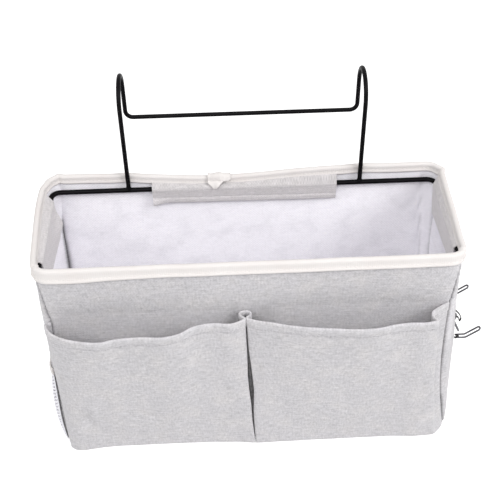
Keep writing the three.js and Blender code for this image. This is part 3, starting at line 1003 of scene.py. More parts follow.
@dataclass
class BagCloth:
    """The bag itself: one lofted shell with a lining, seams at its corners, and a base.

    Attributes:
        grid: The shell's outer face.
        seam_columns: Each seam's column in it.
        seam_distance: Each column's distance from the nearest seam.
        nearest: Which seam that is.
        heights: Each row's nominal height.
    """

    thickness: ClassVar[float] = 1.6

    form: BagForm
    row_step: float = 3.0
    foot_steps: int = 6
    seam_depth: float = 1.0
    seam_width: float = 1.0
    pucker_pitch: float = 6.5
    pucker_depth: float = 0.35
    wave_depth: float = 0.9
    wave_length: float = 75.0
    ripple_depth: float = 0.28
    ripple_length: float = 22.0
    base_gap: float = 0.2
    base_height: float = 0.8
    base_thickness: float = 1.4
    wall_lengths: tuple[float, ...] = (304.0, 110.0, 304.0, 106.0)
    # How dark and how wide the painted shade along each seam's groove is, in the order of the seams.
    seam_painted_shade: tuple[tuple[float, float], ...] = ((0.6, 1.0), (0.95, 0.9), (0.45, 2.4), (1.3, 1.7))
    back_seam_share: float = -1.7
    net_shade: float = 0.62
    net_top: float = 93.0
    pleat_shade: float = 0.8
    pleat_top: float = 152.0
    # Painted light that lifts the shade inside the pockets' mouths.
    mouth_painted_light: float = 0.22
    mouth_top: float = 163.0
    kink_top: float = 197.0
    kink_top_x: float = 143.5
    kink_lean: float = 0.1

    grid: ClothGrid = field(init=False)
    seam_columns: list[int] = field(init=False)
    seam_distance: np.ndarray = field(init=False)
    nearest: np.ndarray = field(init=False)
    heights: np.ndarray = field(init=False)

    def rows(self) -> list[tuple[float, float]]:
        """Divides the shell's height.

        Returns:
            Each row's inset and nominal height, from under the foot up to the rim.
        """
        radius = self.form.foot_radius
        turned = [QUARTER_TURN * step / self.foot_steps for step in range(self.foot_steps + 1)]
        foot = [(radius - radius * math.sin(a), radius - radius * math.cos(a)) for a in turned]
        count = round((self.form.wall_top - radius) / self.row_step)
        rise = np.linspace(radius, self.form.wall_top, count + 1)[1:]
        return foot + [(0.0, float(height)) for height in rise]

    def shape(self) -> None:
        """Lofts the outer face from ring to ring and presses in seams, puckers and soft waves."""
        spans = [graded_shares(length, 0.5, 3.0, 14.0) for length in self.wall_lengths]
        self.seam_columns = list(np.cumsum([0] + [len(span) for span in spans]))[:4]
        self.seam_distance = np.concatenate([
            np.minimum(span, 1 - span) * length for span, length in zip(spans, self.wall_lengths)
        ])
        self.nearest = np.concatenate([np.where(span < 0.5, k, (k + 1) % 4) for k, span in enumerate(spans)])
        self.heights = np.array([height for _, height in self.rows()])
        rows = []
        for inset, height in self.rows():
            ring, seams = self.form.ring(height, inset)
            seams = seams + [seams[0] + 1.0]
            at = np.concatenate([
                seams[k] + span * (seams[k + 1] - seams[k]) for k, span in enumerate(spans)
            ]) % 1.0
            even = np.linspace(0, 1, len(ring) + 1)
            closed = np.concatenate([ring, ring[:1]])
            x, y = (np.interp(at, even, closed[:, k]) for k in range(2))
            rows.append(np.stack([x, y, np.full_like(x, height)], axis=1))
        points = np.stack(rows)
        grid = ClothGrid(points, measured_uv(points, wraps=True), wraps=True, creases_and_painted_shade=self.creases_and_painted_shade(points))
        self.grid = grid.moved_out(self.relief(points))
        self.grid.points = self.form.lifted(self.grid.points)

    def kink_x(self, height: np.ndarray) -> np.ndarray:
        """Where the upright kink in the back wall lies: it leans out towards the foot."""
        return self.kink_top_x + self.kink_lean * (self.kink_top - height)

    def creases_and_painted_shade(self, points: np.ndarray) -> np.ndarray:
        """The painted shade at each point: in seam grooves, at the kink, and under other pieces; below zero,
        painted light.

        The back left seam opens downwards and closes near the rim.

        Args:
            points: The lofted shell.

        Returns:
            A share for each point, 0 on plain cloth.
        """
        height = self.heights[:, None]
        dark, width = np.array(self.seam_painted_shade)[self.nearest].T[:, None, :]
        opening = (self.nearest == Seam.BACK_LEFT.value)[None, :]
        width = width + opening * 1.0 * eased((162.0 - height) / 45.0)
        shown = np.where(opening, eased((172.0 - height) / 14.0), 1.0)
        marks = dark * shown * np.exp(-((self.seam_distance[None, :] / width) ** 2))
        # The push at the back right corner has left a kink beside the seam; it gets a line of painted shade
        # and a faint painted highlight beside it.
        x, y, z = points[..., 0], points[..., 1], points[..., 2]
        kink = self.kink_x(z)
        bent = 0.26 * bump_at(x, kink + 1.0, 1.3) - 0.08 * bump_at(x, kink - 1.5, 1.2)
        marks = marks + bent * eased((y - 45.0) / 6.0) * eased((z - 20.0) / 60.0)
        # The cloth behind the net lies in its shade.
        behind_net = eased((-150.0 - x) / 6.0) * eased((self.net_top - z) / 3.0) * (np.abs(y) < 53.0)
        # So does the cloth behind the pleat, while inside the pockets' mouths it is painted paler, painted
        # light that lifts their shade.
        on_front = eased((-y - 48.0) / 3.0)
        behind_pleat = bump_at(x, 0.0, 5.0) * eased((self.pleat_top - z) / 4.0)
        in_mouths = eased((self.mouth_top - z) / 1.5) * eased((z - 100.0) / 20.0)
        in_mouths = in_mouths * eased((np.abs(x) - 12.0) / 12.0)
        front_marks = self.pleat_shade * behind_pleat - self.mouth_painted_light * in_mouths
        return marks + self.net_shade * behind_net + on_front * front_marks

    def relief(self, points: np.ndarray) -> np.ndarray:
        """How far each point of the shell moves out: seams, puckers, waves and ripples.

        Args:
            points: The lofted shell.

        Returns:
            A distance for each point, in millimetres.
        """
        form = self.form
        beside = self.seam_distance[None, :]
        height = self.heights[:, None]
        # The front seams are turned in, and the back ones out, which leaves a gutter inside.
        turned = np.where(self.nearest >= Seam.BACK_RIGHT.value, self.back_seam_share, 1.0)[None, :]
        groove = -self.seam_depth * turned * np.exp(-((beside / self.seam_width / np.abs(turned)) ** 2))
        ridge = 0.35 * bump_at(beside, 2.4, 1.2)
        phase = 2 * math.pi * height / self.pucker_pitch + 1.7 * soft_noise(points, 30.0, 4.0)
        pucker = self.pucker_depth * np.sin(phase) * np.exp(-((beside / 6.0) ** 2))
        free = eased(beside / 22.0) * eased((form.bulge_top - height) / 40.0) * eased(height / 30.0)
        wave = self.wave_depth * soft_noise(points, self.wave_length, 11.0)
        ripple = self.ripple_depth * soft_noise(points, self.ripple_length, 23.0)
        fold = self.corner_folds(points)
        pressed = groove + ridge + pucker + free * wave + eased(beside / 10.0) * ripple + fold
        return pressed * eased((height - 0.5) / 6.0)

    def corner_folds(self, points: np.ndarray) -> np.ndarray:
        """Upright folds in the back wall beside its right corner, where the stiff cloth is pushed in.

        Args:
            points: The lofted shell.

        Returns:
            How far each point moves out.
        """
        x, y, z = points[..., 0], points[..., 1], points[..., 2]
        on_back = eased((y - 45.0) / 8.0)
        fades = eased((200.0 - z) / 25.0) * eased(z / 60.0)
        kink = self.kink_x(z)
        return on_back * fades * (1.5 * bump_at(x, kink, 1.8) - 1.2 * bump_at(x, kink + 4.5, 2.6))

    def build(self) -> None:
        """Makes the shell, its base and the stitches in its corner seams."""
        self.shape()
        shell = self.grid.solid(
            "bag_shell", self.thickness, [LINEN_CLOTH, COATED_LINING], outside_share=0.0)
        finish_piece(shell, [
            "front_panel", "back_panel", "left_side_panel", "right_side_panel"])
        self.build_base()
        self.build_seam_stitches()

    def build_base(self) -> None:
        """A base panel sewn inside the turned foot, sagging a little between its seams."""
        ring, _ = self.form.ring(0.0, self.form.foot_radius + self.base_gap)
        upper = ring[:, 1].max() - 0.02
        shares = np.linspace(-1, 1, 41)
        rows = []
        for y in upper * np.sin(shares * QUARTER_TURN):
            lower = []
            for side in (-1, 1):
                part = ring[ring[:, 0] * side > 0]
                order = np.argsort(part[:, 1])
                lower.append(float(np.interp(y, part[order, 1], part[order, 0])))
            x = np.linspace(lower[0], lower[1], 121)
            rows.append(np.stack([x, np.full_like(x, y), np.full_like(x, self.base_height)], axis=1))
        points = np.stack(rows)
        inside = 1 - np.abs(shares)[:, None] ** 4
        points[..., 2] += 0.5 * inside * (1 + soft_noise(points, 60.0, 31.0))
        # Rows run towards the back here, so the face that looks down is the outer one.
        grid = ClothGrid(points[:, ::-1], measured_uv(points))
        base = grid.solid("base_cloth", self.base_thickness, [LINEN_CLOTH, COATED_LINING])
        finish_piece(base, ["base_panel"])

    def build_seam_stitches(self) -> None:
        """Short dark stitches that show in the groove of each corner seam."""
        stitching = Stitching(length=1.9, gap=1.9, thread=0.45)
        normals = self.grid.normals()
        sewn = slice(self.foot_steps + 1, -4)
        for seam in Seam:
            column = self.seam_columns[seam.value]
            outward = normals[sewn, column]
            row = stitching.sew(
                f"seam_stitches_{seam.name.lower()}", self.grid.points[sewn, column] + outward * 0.1,
                outward, SEAM_THREAD)
            finish_piece(row)


# The rim

@dataclass
class RimBinding:
    """Cream tape folded over the rim, with rolled edges and a row of stitches along each edge."""

    bag: BagCloth
    tape: float = 1.0
    rolled_edge: float = 0.8
    stand_off: float = 0.2
    outer_leg: float = 9.6
    inner_leg: float = 6.8
    fold_width: float = 6.0
    slump: float = 0.45

    def section(self, outer_leg: np.ndarray) -> tuple[np.ndarray, np.ndarray, np.ndarray]:
        """The tape's section from its outer edge over the top to its inner edge.

        Args:
            outer_leg: The outer leg's length at each column.

        Returns:
            Distance out from the wall's outer face and height below the rim's top, both rows x columns,
            and the tape's thickness for each row.
        """
        cloth = BagCloth.thickness
        radius = (cloth + 2 * self.stand_off + self.tape) / 2
        centre = -cloth / 2
        rows = []
        for share, lean, swell in ((1, 0.35, 0.9), (0.93, 0.45, 1.0), (0.86, 0.3, 0.6), (0.78, 0.05, 0.1),
                                   (0.66, -0.05, 0), (0.52, 0.0, 0), (0.38, 0.1, 0)):
            rows.append((centre + radius + lean, share * outer_leg, swell))
        for step in range(11):
            angle = math.pi * step / 10
            rows.append((centre + (radius + 0.25) * math.cos(angle),
                         self.tape / 2 + radius - radius * math.sin(angle), 0))
        for share, lean, swell in ((0.5, 0.1, 0), (0.68, 0.0, 0.1), (0.82, 0.25, 0.6), (0.92, 0.4, 1.0),
                                   (1, 0.3, 0.9)):
            rows.append((centre - radius - lean, share * self.inner_leg, swell))
        out, down = (np.stack([np.broadcast_to(row[k], outer_leg.shape) for row in rows]) for k in (0, 1))
        return out, down, np.array([self.tape + self.rolled_edge * swell for _, _, swell in rows])

    def build(self) -> None:
        """Sweeps the tape round the rim and sews it."""
        form, grid = self.bag.form, self.bag.grid
        top = grid.points[-1].copy()
        ring_normal = grid.normals()[-1]
        ring_normal[:, 2] = 0
        ring_normal /= np.linalg.norm(ring_normal, axis=1, keepdims=True)
        on_front = eased(-top[:, 1] / 50.0)
        outer_leg = self.outer_leg + on_front * 2.2 * bump_at(top[:, 0], -134.0, 36.0)
        out, down, thick = self.section(outer_leg)
        rim = form.rim_top + form.rim_rise(top[:, 0], top[:, 1])
        points = top[None] + ring_normal[None] * out[..., None]
        points[..., 2] = rim[None] - down
        upwards = 0.35 * self.slump * soft_noise(points, 24.0, 51.0)
        sideways = self.slump * soft_noise(points * np.array([1, 1, 0.2]), 30.0, 57.0)
        points += ring_normal[None] * (sideways * 0.6)[..., None]
        points[..., 2] += upwards
        uv = measured_uv(points, wraps=True)
        tape = ClothGrid(points, uv, wraps=True)
        binding = tape.solid("rim_tape", thick[:, None], [CREAM_TAPE])
        finish_piece(binding, ["rim_binding"])
        self.sew_edges(tape, thick)

    def sew_edges(self, tape: ClothGrid, thick: np.ndarray) -> None:
        """Sews one row of stitches just above each edge of the tape.

        Args:
            tape: The tape's grid.
            thick: Its thickness at each row.
        """
        normals = tape.normals()
        for name, row in (("outer", 3), ("inner", len(thick) - 4)):
            path = tape.points[row] + normals[row] * (thick[row] / 2 + 0.05)
            stitches = Stitching(thread=0.42).sew(
                f"rim_stitches_{name}", path, normals[row], CREAM_THREAD, closed=True)
            finish_piece(stitches)


@dataclass
class BindingTail:
    """The tape's loose end: a crumpled triangle that hangs over the inside of the rim on the cloth tab."""

    bag: BagCloth
    left_x: float = -29.5
    right_x: float = -11.0
    tip_x: float = -24.0
    rim_x: float = -20.0
    columns: int = 33
    rows: int = 33
    length: float = 24.0
    area_share: float = 0.8
    tape: float = 1.0

    def build(self) -> None:
        """Lays the triangle over the rim and crumples it."""
        form = self.bag.form
        rise = float(form.rim_rise(np.array([self.rim_x]), np.array([form.half_depth]))[0])
        top = form.rim_top + rise
        # y and z down the middle of the piece, from the rim over the tab to the tip that hangs before it.
        line = np.array([
            (55.3, top - 4.0), (54.9, top - 1.2), (53.9, top + 0.2), (52.4, top + 0.6), (51.1, top),
            (50.3, top - 1.6), (49.8, top - 3.6), (48.8, top - 4.1), (47.2, top - 4.3), (45.8, top - 5.4),
            (44.8, top - 7.6)])
        along = np.linspace(0, len(line) - 1, self.rows)
        y = np.interp(along, np.arange(len(line)), line[:, 0])
        z = np.interp(along, np.arange(len(line)), line[:, 1])
        share = np.linspace(0, 1, self.rows)
        left = self.left_x + (self.tip_x - 1.0 - self.left_x) * eased((share - 0.74) / 0.27)
        right = self.right_x + (self.tip_x + 1.0 - self.right_x) * np.clip((share - 0.5) / 0.5, 0, 1)
        across = np.linspace(0, 1, self.columns)
        points = np.zeros((self.rows, self.columns, 3))
        points[..., 0] = left[:, None] + (right - left)[:, None] * across[None]
        points[..., 1] = y[:, None]
        points[..., 2] = z[:, None]
        crumple = 1.5 * soft_noise(points, 8.0, 71.0) + 0.7 * soft_noise(points, 3.6, 77.0)
        # The rows run from back to front over the rim, so turning them round makes the top face outer.
        grid = ClothGrid(points[::-1], measured_uv(points[::-1]))
        grid = grid.moved_out(0.9 + crumple[::-1])
        tail = grid.solid("binding_loose_end", self.tape, [CREAM_TAPE])
        finish_piece(tail, ["binding_tail"])


# The wire frame and the cloth that holds it

@dataclass
class WireFrame:
    """The hoop under the rim and the bent hanger that stands on its rear rail."""

    hoop_wire: float = 4.0
    hoop_half_width: float = 153.75
    hoop_half_depth: float = 48.75
    hoop_corner: float = 7.0
    hoop_height: float = BagForm.bulge_top
    side_spring: float = 1.5
    hanger_wire: float = 3.5
    upright_x: float = BagForm.upright_x
    arch_radius: float = 18.5
    arch_height: float = 271.0
    crossbar_height: float = 243.0
    crossbar_bend: float = 6.0
    weld_radius: float = 2.35
    weld_rise: float = 1.5
    weld_sunk: float = 1.4
    weld_shares: tuple[float, ...] = (0.35, 0.7, 1.0)

    def build(self) -> None:
        """Bends the hoop and the hanger, and welds them."""
        self.build_hoop()
        self.build_hanger()
        self.build_welds()

    def build_hoop(self) -> None:
        """Bends the hoop from one wire, starting in the middle of the rear rail."""
        along = self.hoop_half_width + self.side_spring - self.hoop_corner
        across = self.hoop_half_depth - self.hoop_corner
        start = Vector((0, self.hoop_half_depth, self.hoop_height))
        bender = WireBender("hoop_wire", start, Vector((1, 0, 0)), self.hoop_wire)
        bender.feed(along, 6)
        for length in (2 * across, 2 * along, 2 * across):
            bender.bend(self.hoop_corner, 90, Vector((0, 0, -1)))
            bender.feed(length, 6)
        bender.bend(self.hoop_corner, 90, Vector((0, 0, -1)))
        bender.feed(along, 6)
        finish_piece(bender.finished(BLACK_WIRE, closes=True), ["wire_hoop"])

    def build_hanger(self) -> None:
        """Bends the hanger: up, over backwards, down, along the crossbar, and the same back."""
        foot = self.hoop_height + self.hoop_wire / 2 - 0.3
        bender = WireBender(
            "hanger_rod", Vector((self.upright_x, self.hoop_half_depth, foot)), Vector((0, 0, 1)),
            self.hanger_wire)
        drop = self.arch_height - self.crossbar_height - self.crossbar_bend
        bender.feed(self.arch_height - foot, 6)
        bender.bend(self.arch_radius, 180, Vector((-1, 0, 0)), 24)
        bender.feed(drop, 2).bend(self.crossbar_bend, 90, Vector((0, 1, 0)))
        bender.feed(2 * (self.upright_x - self.crossbar_bend), 8)
        bender.bend(self.crossbar_bend, 90, Vector((0, 1, 0))).feed(drop, 2)
        bender.bend(self.arch_radius, 180, Vector((1, 0, 0)), 24)
        bender.feed(self.arch_height - foot, 6)
        finish_piece(bender.finished(BLACK_WIRE, closes=False), ["hanger_wire"])

    def build_welds(self) -> None:
        """A small coated weld bead round the foot of each upright."""
        top = self.hoop_height + self.hoop_wire / 2
        drawn_in = 1 - self.hanger_wire / 2 / self.weld_radius
        for name, side in (("left", -1), ("right", 1)):
            start = Vector((side * self.upright_x, self.hoop_half_depth, top - self.weld_sunk))
            bender = WireBender(f"weld_{name}", start, Vector((0, 0, 1)), 2 * self.weld_radius)
            bender.feed(self.weld_sunk)
            for share in self.weld_shares:
                bender.feed(self.weld_rise / len(self.weld_shares))
                before = 1 - (share - self.weld_shares[0]) * drawn_in
                factor = (1 - share * drawn_in) / before
                bpy.ops.transform.resize(value=(factor, factor, 1), center_override=bender.place * MM)
            finish_piece(bender.finished(BLACK_WIRE, closes=False))


@dataclass(frozen=True)
class Curtain:
    """One facing: where it starts and ends along its wall, and how its lower edge hangs.

    Attributes:
        name: The piece's name.
        node: The CAD node that it stands for.
        wall: front, rear, left or right.
        runs: Its first and last end seen from inside the bag, as y on a side wall and as x on a long one.
        hem_runs: The same ends at the lower edge.
        hems: The lower edge's height at both ends.
        stands: How far the lower edge stands off the straight wall's inner face at both ends.
        slack: How far the cloth hangs away from the wall half way down beside the rear end.
        strip_painted_shade: How much painted shade darkens the strip over the hoop.
        fold: How dark the painted shade along the fold below it is.
    """

    name: str
    node: str
    wall: str
    runs: tuple[float, float]
    hem_runs: tuple[float, float]
    hems: tuple[float, float]
    stands: tuple[float, float]
    slack: float = 0.0
    strip_painted_shade: float = 0.14
    fold: float = 0.0


@dataclass
class HoopFacings:
    """The cloth that holds the hoop: a curtain on each side wall and on the front, and the rear tab.

    Each is sewn in under the binding, goes over the hoop and hangs straight down to its lower edge.
    """

    bag: BagCloth
    wires: WireFrame
    cloth: float = 0.9
    seam_inward: float = 2.0
    seam_drop: float = 6.4
    hem_depth: float = 5.0
    left: Curtain = Curtain(
        "left_hoop_facing", "left_hoop_sleeve", "left", (-38.0, 36.0), (-37.0, 36.5), (163.0, 161.5),
        (1.8, 3.5), slack=4.0)
    right: Curtain = Curtain(
        "right_hoop_facing", "right_hoop_sleeve", "right", (41.0, -37.5), (33.5, -36.5), (175.0, 178.5),
        (3.6, 3.2))
    front: Curtain = Curtain(
        "front_hoop_facing", "front_hoop_sleeve", "front", (144.0, -144.0), (143.0, -143.0), (164.0, 163.0),
        (1.2, 1.2))
    tab: Curtain = Curtain(
        "hoop_tab", "rear_hoop_tab", "rear", (-74.7, 74.7), (-74.7, 74.7), (184.0, 182.6), (2.6, 2.6),
        strip_painted_shade=0.3, fold=0.12)

    def hung(self, seam: tuple[float, float], hem: tuple[float, float], centre: float) -> np.ndarray:
        """The cloth's line from its seam over the hoop to its lower edge.

        Args:
            seam: Inward distance and height of the upper edge.
            hem: The same for the lower edge.
            centre: How far inward the hoop's centre line is.

        Returns:
            Points as rows of inward distance and height.
        """
        level = self.wires.hoop_height
        radius = self.wires.hoop_wire / 2 + 0.1 + self.cloth / 2
        ends = []
        for (inward, height), side in ((seam, -1), (hem, 1)):
            away = math.hypot(inward - centre, height - level)
            ends.append(math.atan2(height - level, inward - centre) + side * math.acos(radius / away))
        angles = np.linspace(ends[0], ends[1], 9)
        over = np.stack([centre + radius * np.cos(angles), level + radius * np.sin(angles)], axis=1)
        first = np.array(seam) + (over[0] - np.array(seam)) * np.linspace(0, 1, 6)[:-1, None]
        last = over[-1] + (np.array(hem) - over[-1]) * np.linspace(0, 1, 21)[1:, None]
        return np.concatenate([first, over, last])

    def drape(self, curtain: Curtain) -> ClothGrid:
        """Hangs one curtain.

        Args:
            curtain: Which one.

        Returns:
            Its grid, the outer face towards the bag's middle.
        """
        form, wires = self.bag.form, self.wires
        along_side = curtain.wall in ("left", "right")
        wall = (form.half_width if along_side else form.half_depth) - BagCloth.thickness
        hoop = wires.hoop_half_width + wires.side_spring if along_side else wires.hoop_half_depth
        outward = 1 if curtain.wall in ("right", "rear") else -1
        length = abs(curtain.runs[1] - curtain.runs[0])
        columns = []
        for share in np.linspace(0, 1, int(length / 1.5) + 2):
            run, hem_run, hem, stand = (
                pair[0] + (pair[1] - pair[0]) * share
                for pair in (curtain.runs, curtain.hem_runs, curtain.hems, curtain.stands))
            x, y = (outward * wall, run) if along_side else (run, outward * wall)
            rise = float(form.rim_rise(np.array(x), np.array(y)))
            billow = form.bulge(run, form.wall_top, outward) if along_side else 0.0
            seam = (self.seam_inward - float(billow), max(form.rim_top + rise - self.seam_drop, 200.2))
            line = self.hung(seam, (stand, hem), wall - hoop)
            lower = np.clip((wires.hoop_height - line[:, 1]) / (wires.hoop_height - hem), 0, 1)
            beside_end = float(eased((run - 10.0) / 26.0))
            inward = line[:, 0] + curtain.slack * beside_end * bump_at(line[:, 1], 176.0, 9.0)
            across = run + (hem_run - run) * lower
            distance = outward * (wall - inward)
            flat = (distance, across) if along_side else (across, distance)
            columns.append(np.stack([*flat, line[:, 1]], axis=1))
        points = np.stack(columns, axis=1)[::-1]
        height = points[..., 2]
        free = eased((wires.hoop_height - 2.0 - height) / 12.0)
        # The strip over the hoop gets painted shade, and the tab gets a line of painted shade along the
        # pressed fold below it.
        painted_strip_shade = curtain.strip_painted_shade * eased((height - wires.hoop_height + 1.0) / 2.0)
        folded = curtain.fold * bump_at(height, wires.hoop_height - 0.6, 0.7)
        grid = ClothGrid(points, measured_uv(points), creases_and_painted_shade=painted_strip_shade + folded)
        return grid.moved_out(free * 0.35 * (1 + soft_noise(points, 26.0, float(len(curtain.name)))))

    def build(self) -> None:
        """Makes the three curtains and the tab."""
        for curtain in (self.left, self.right, self.front):
            grid = self.drape(curtain)
            piece = grid.solid(curtain.name, self.cloth, [FACING_CLOTH])
            finish_piece(piece, [curtain.node])
        self.build_tab()

    def build_tab(self) -> None:
        """The tab over the rear rail: a double hem, and a frayed corner at its lower left."""
        grid = self.drape(self.tab)
        points, (left, right) = grid.points, self.tab.runs
        above_hem = points[..., 2] - points[0, :, 2]
        in_hem = eased((self.hem_depth + 1.0 - above_hem) / 2.0)
        line = bump_at(above_hem, self.hem_depth, 0.9)
        corner = bump_at(points[..., 0], left, 7.0) * eased((6.0 - above_hem) / 5.0)
        points[..., 1] -= 1.6 * corner
        points[..., 2] -= 1.8 * corner
        # The hem's stitched line also gets painted shade.
        grid = ClothGrid(points, grid.uv, creases_and_painted_shade=grid.creases_and_painted_shade + 0.14 * line).moved_out(-0.35 * line)
        tab = grid.solid(self.tab.name, self.cloth + 0.9 * in_hem, [FACING_CLOTH])
        finish_piece(tab, [self.tab.node])
        normals = grid.normals()
        row = int(np.argmin(np.abs(above_hem[:, 0] - (self.hem_depth - 0.6))))
        path = grid.points[row, 2:-2] + normals[row, 2:-2] * (self.cloth / 2 + 0.1)
        stitches = Stitching(thread=0.38).sew("tab_stitches", path, normals[row, 2:-2], PALE_THREAD)
        finish_piece(stitches)


# Pockets

def through_stations(stations: np.ndarray, knots: np.ndarray, at: np.ndarray) -> np.ndarray:
    """A smooth curve through stations.

    Args:
        stations: The points that it passes, n x 2.
        knots: Each station's place along the curve.
        at: Where points are wanted.

    Returns:
        The curve's points there.
    """
    slopes = np.diff(stations, axis=0) / np.diff(knots)[:, None]
    tangents = np.empty_like(stations)
    tangents[0], tangents[-1] = slopes[0], slopes[-1]
    before, after = np.diff(knots)[:-1, None], np.diff(knots)[1:, None]
    tangents[1:-1] = (slopes[:-1] * after + slopes[1:] * before) / (before + after)
    span = np.clip(np.searchsorted(knots, at, side="right") - 1, 0, len(knots) - 2)
    width = (knots[span + 1] - knots[span])[:, None]
    t = (at[:, None] - knots[span][:, None]) / width
    return (
        (2 * t ** 3 - 3 * t ** 2 + 1) * stations[span] + (t ** 3 - 2 * t ** 2 + t) * width * tangents[span]
        + (3 * t ** 2 - 2 * t ** 3) * stations[span + 1] + (t ** 3 - t ** 2) * width * tangents[span + 1]
    )


@dataclass
class FrontPocket:
    """One front pocket: a strip of cloth that runs from a corner seam, round the pocket's fullness, into
    the box pleat between the two pockets.

    Attributes:
        hem: x and y of the strip's middle line at the hem, from left to right.
        foot: The same places where the strip is sewn into the base seam.
        pleat_end: Index of the station at the pleat's mouth.
        slit_side: Which way the cloth draws back from the slit, -1 to the left and 1 to the right.
        creases_and_painted_shade: For each pressed fold the x and height of both ends, its width, and how
            far it stands out; raised folds also get painted light and sunken ones painted shade.
        swept_end: Whether the last end sweeps out to a flared corner.
        foot_rounding: How far the first end's lower corner is turned in and up.
        end_drop: How far the hem drops at its first end.
    """

    name: str
    node: str
    hem: Stations
    foot: Stations
    pleat_end: int
    slit_side: int
    creases_and_painted_shade: tuple[tuple[float, ...], ...] = ()
    cloth: float = 1.15
    hem_fold: float = 8.0
    hem_swell: float = 0.9
    foot_height: float = 1.3
    hem_height: float = 157.6
    sag_radius: float = 310.0
    slit_width: float = 2.7
    column_step: float = 1.35
    wave_depth: float = 1.0
    swept_end: bool = False
    foot_rounding: float = 0.0
    end_drop: float = 0.0
    end_reach: float = 9.0
    pleat_shade: float = 1.1

    def rows(self) -> np.ndarray:
        """Shares of the height, closer together at the hem."""
        low = np.linspace(0, 0.93, 52, endpoint=False)
        return np.concatenate([low, np.linspace(0.93, 1.0, 13)])

    def shape(self) -> ClothGrid:
        """Lofts the strip from its foot to its hem.

        Returns:
            The strip's grid.
        """
        hem, foot = np.array(self.hem), np.array(self.foot)
        knots = lengths_along(hem)
        at = np.linspace(0, knots[-1], int(knots[-1] / self.column_step) + 1)
        upper = through_stations(hem, knots, at)
        lower = through_stations(foot, knots, at)
        forward = np.maximum(-BagForm.half_depth - upper[:, 1], 0)
        first_end = eased(1.0 - at / self.end_reach)
        top = self.hem_height - forward ** 2 / self.sag_radius - self.end_drop * first_end
        near_pleat = bump_at(at, knots[self.pleat_end], 13.0)
        # The end that is sewn into the flared corner seam sweeps out late, close above the foot.
        sweep = bump_at(at, knots[-1], 12.0) * self.swept_end
        rounded = self.foot_rounding * first_end
        rows = []
        for share in self.rows():
            low_x = (1 - sweep) * (1 - share ** 0.85) + sweep * (1 - share) ** 2.4
            low_y = (1 - sweep) * (1 - share ** 1.25) + sweep * (1 - share) ** 7
            x = upper[:, 0] + (lower[:, 0] - upper[:, 0]) * low_x
            y = upper[:, 1] + (lower[:, 1] - upper[:, 1]) * low_y
            z = self.foot_height + (top - self.foot_height) * share
            low = max(1 - float(z[0]) / 16.0, 0.0) ** 2
            x = x + rounded * low
            z = z + 0.6 * rounded * low
            gap = self.slit_width * math.sin(math.pi * share) ** 1.3 if 0 < share < 1 else 0.0
            x = x + self.slit_side * near_pleat * gap / 2
            rows.append(np.stack([x, y, z], axis=1))
        points = np.stack(rows)
        below = points[-1, :, 2] - points[..., 2]
        # Painted shade along the line under the folded hem, and a painted highlight along its top edge.
        marks = 0.16 * bump_at(below, self.hem_fold + 0.6, 0.8) - 0.12 * eased((2.2 - below) / 1.5)
        # Inside the pleat no light reaches the cloth.
        past_mouth = -self.slit_side * (at - knots[self.pleat_end])
        inside = eased((past_mouth - 0.8) / 1.2) * eased((below - 2.0) / 4.0)
        # Raised pressed folds are painted paler and sunken ones darker, as painted light and shade.
        marks = marks + self.pleat_shade * inside - 0.1 * self.pressed(points)
        grid = ClothGrid(points, measured_uv(points), creases_and_painted_shade=marks)
        return grid.moved_out(self.relief(points, at, knots))

    def relief(self, points: np.ndarray, at: np.ndarray, knots: np.ndarray) -> np.ndarray:
        """Soft waves, the hem's stitched line and the pressed folds that the cloth has taken.

        Args:
            points: The lofted strip.
            at: Each column's place along the hem.
            knots: The stations' places along it.

        Returns:
            How far each point moves out.
        """
        share = (points[..., 2] - self.foot_height) / (self.hem_height - self.foot_height)
        ends = eased(at / 12.0) * eased((knots[-1] - at) / 12.0)
        free = ends[None] * eased(share / 0.25) * eased((1.0 - share) / 0.2)
        moved = free * self.wave_depth * soft_noise(points, 48.0, float(self.slit_side) * 5.0 + 40.0)
        moved = moved + 0.16 * soft_noise(points, 13.0, 9.0) + self.pressed(points)
        line = bump_at(points[-1, :, 2] - points[..., 2], self.hem_fold + 0.4, 1.0)
        return moved - 0.3 * line

    def pressed(self, points: np.ndarray) -> np.ndarray:
        """How far the pressed folds move each point out or, below zero, in.

        Args:
            points: The lofted strip.

        Returns:
            A distance for each point.
        """
        moved = np.zeros(points.shape[:-1])
        for x0, z0, x1, z1, width, depth in self.creases_and_painted_shade:
            step = np.array([x1 - x0, z1 - z0])
            place = points[..., ::2] - np.array([x0, z0])
            along = np.clip((place @ step) / (step @ step), 0, 1)
            away = np.linalg.norm(place - along[..., None] * step, axis=2)
            moved = moved + depth * np.exp(-((away / width) ** 2)) * np.sin(math.pi * (0.1 + 0.8 * along))
        return moved

    def build(self) -> None:
        """Makes the pocket, its stitched hem, and ties it to the bag."""
        grid = self.shape()
        below = grid.points[-1, :, 2] - grid.points[..., 2]
        in_hem, edge = eased((self.hem_fold - below) / 1.5), eased(1.0 - below / 1.6)
        thick = self.cloth + self.hem_swell * in_hem - 0.2 * edge
        pocket = grid.solid(self.name, thick, [LINEN_CLOTH], round_steps=6)
        finish_piece(pocket, [self.node])
        normals = grid.normals()
        row = int(np.sum(below[:, 20] >= self.hem_fold - 1.2)) - 1
        path = grid.points[row] + normals[row] * (thick[row][:, None] / 2 + 0.08)
        stitches = Stitching(thread=0.4).sew(f"{self.name}_stitches", path, normals[row], PALE_THREAD)
        finish_piece(stitches)


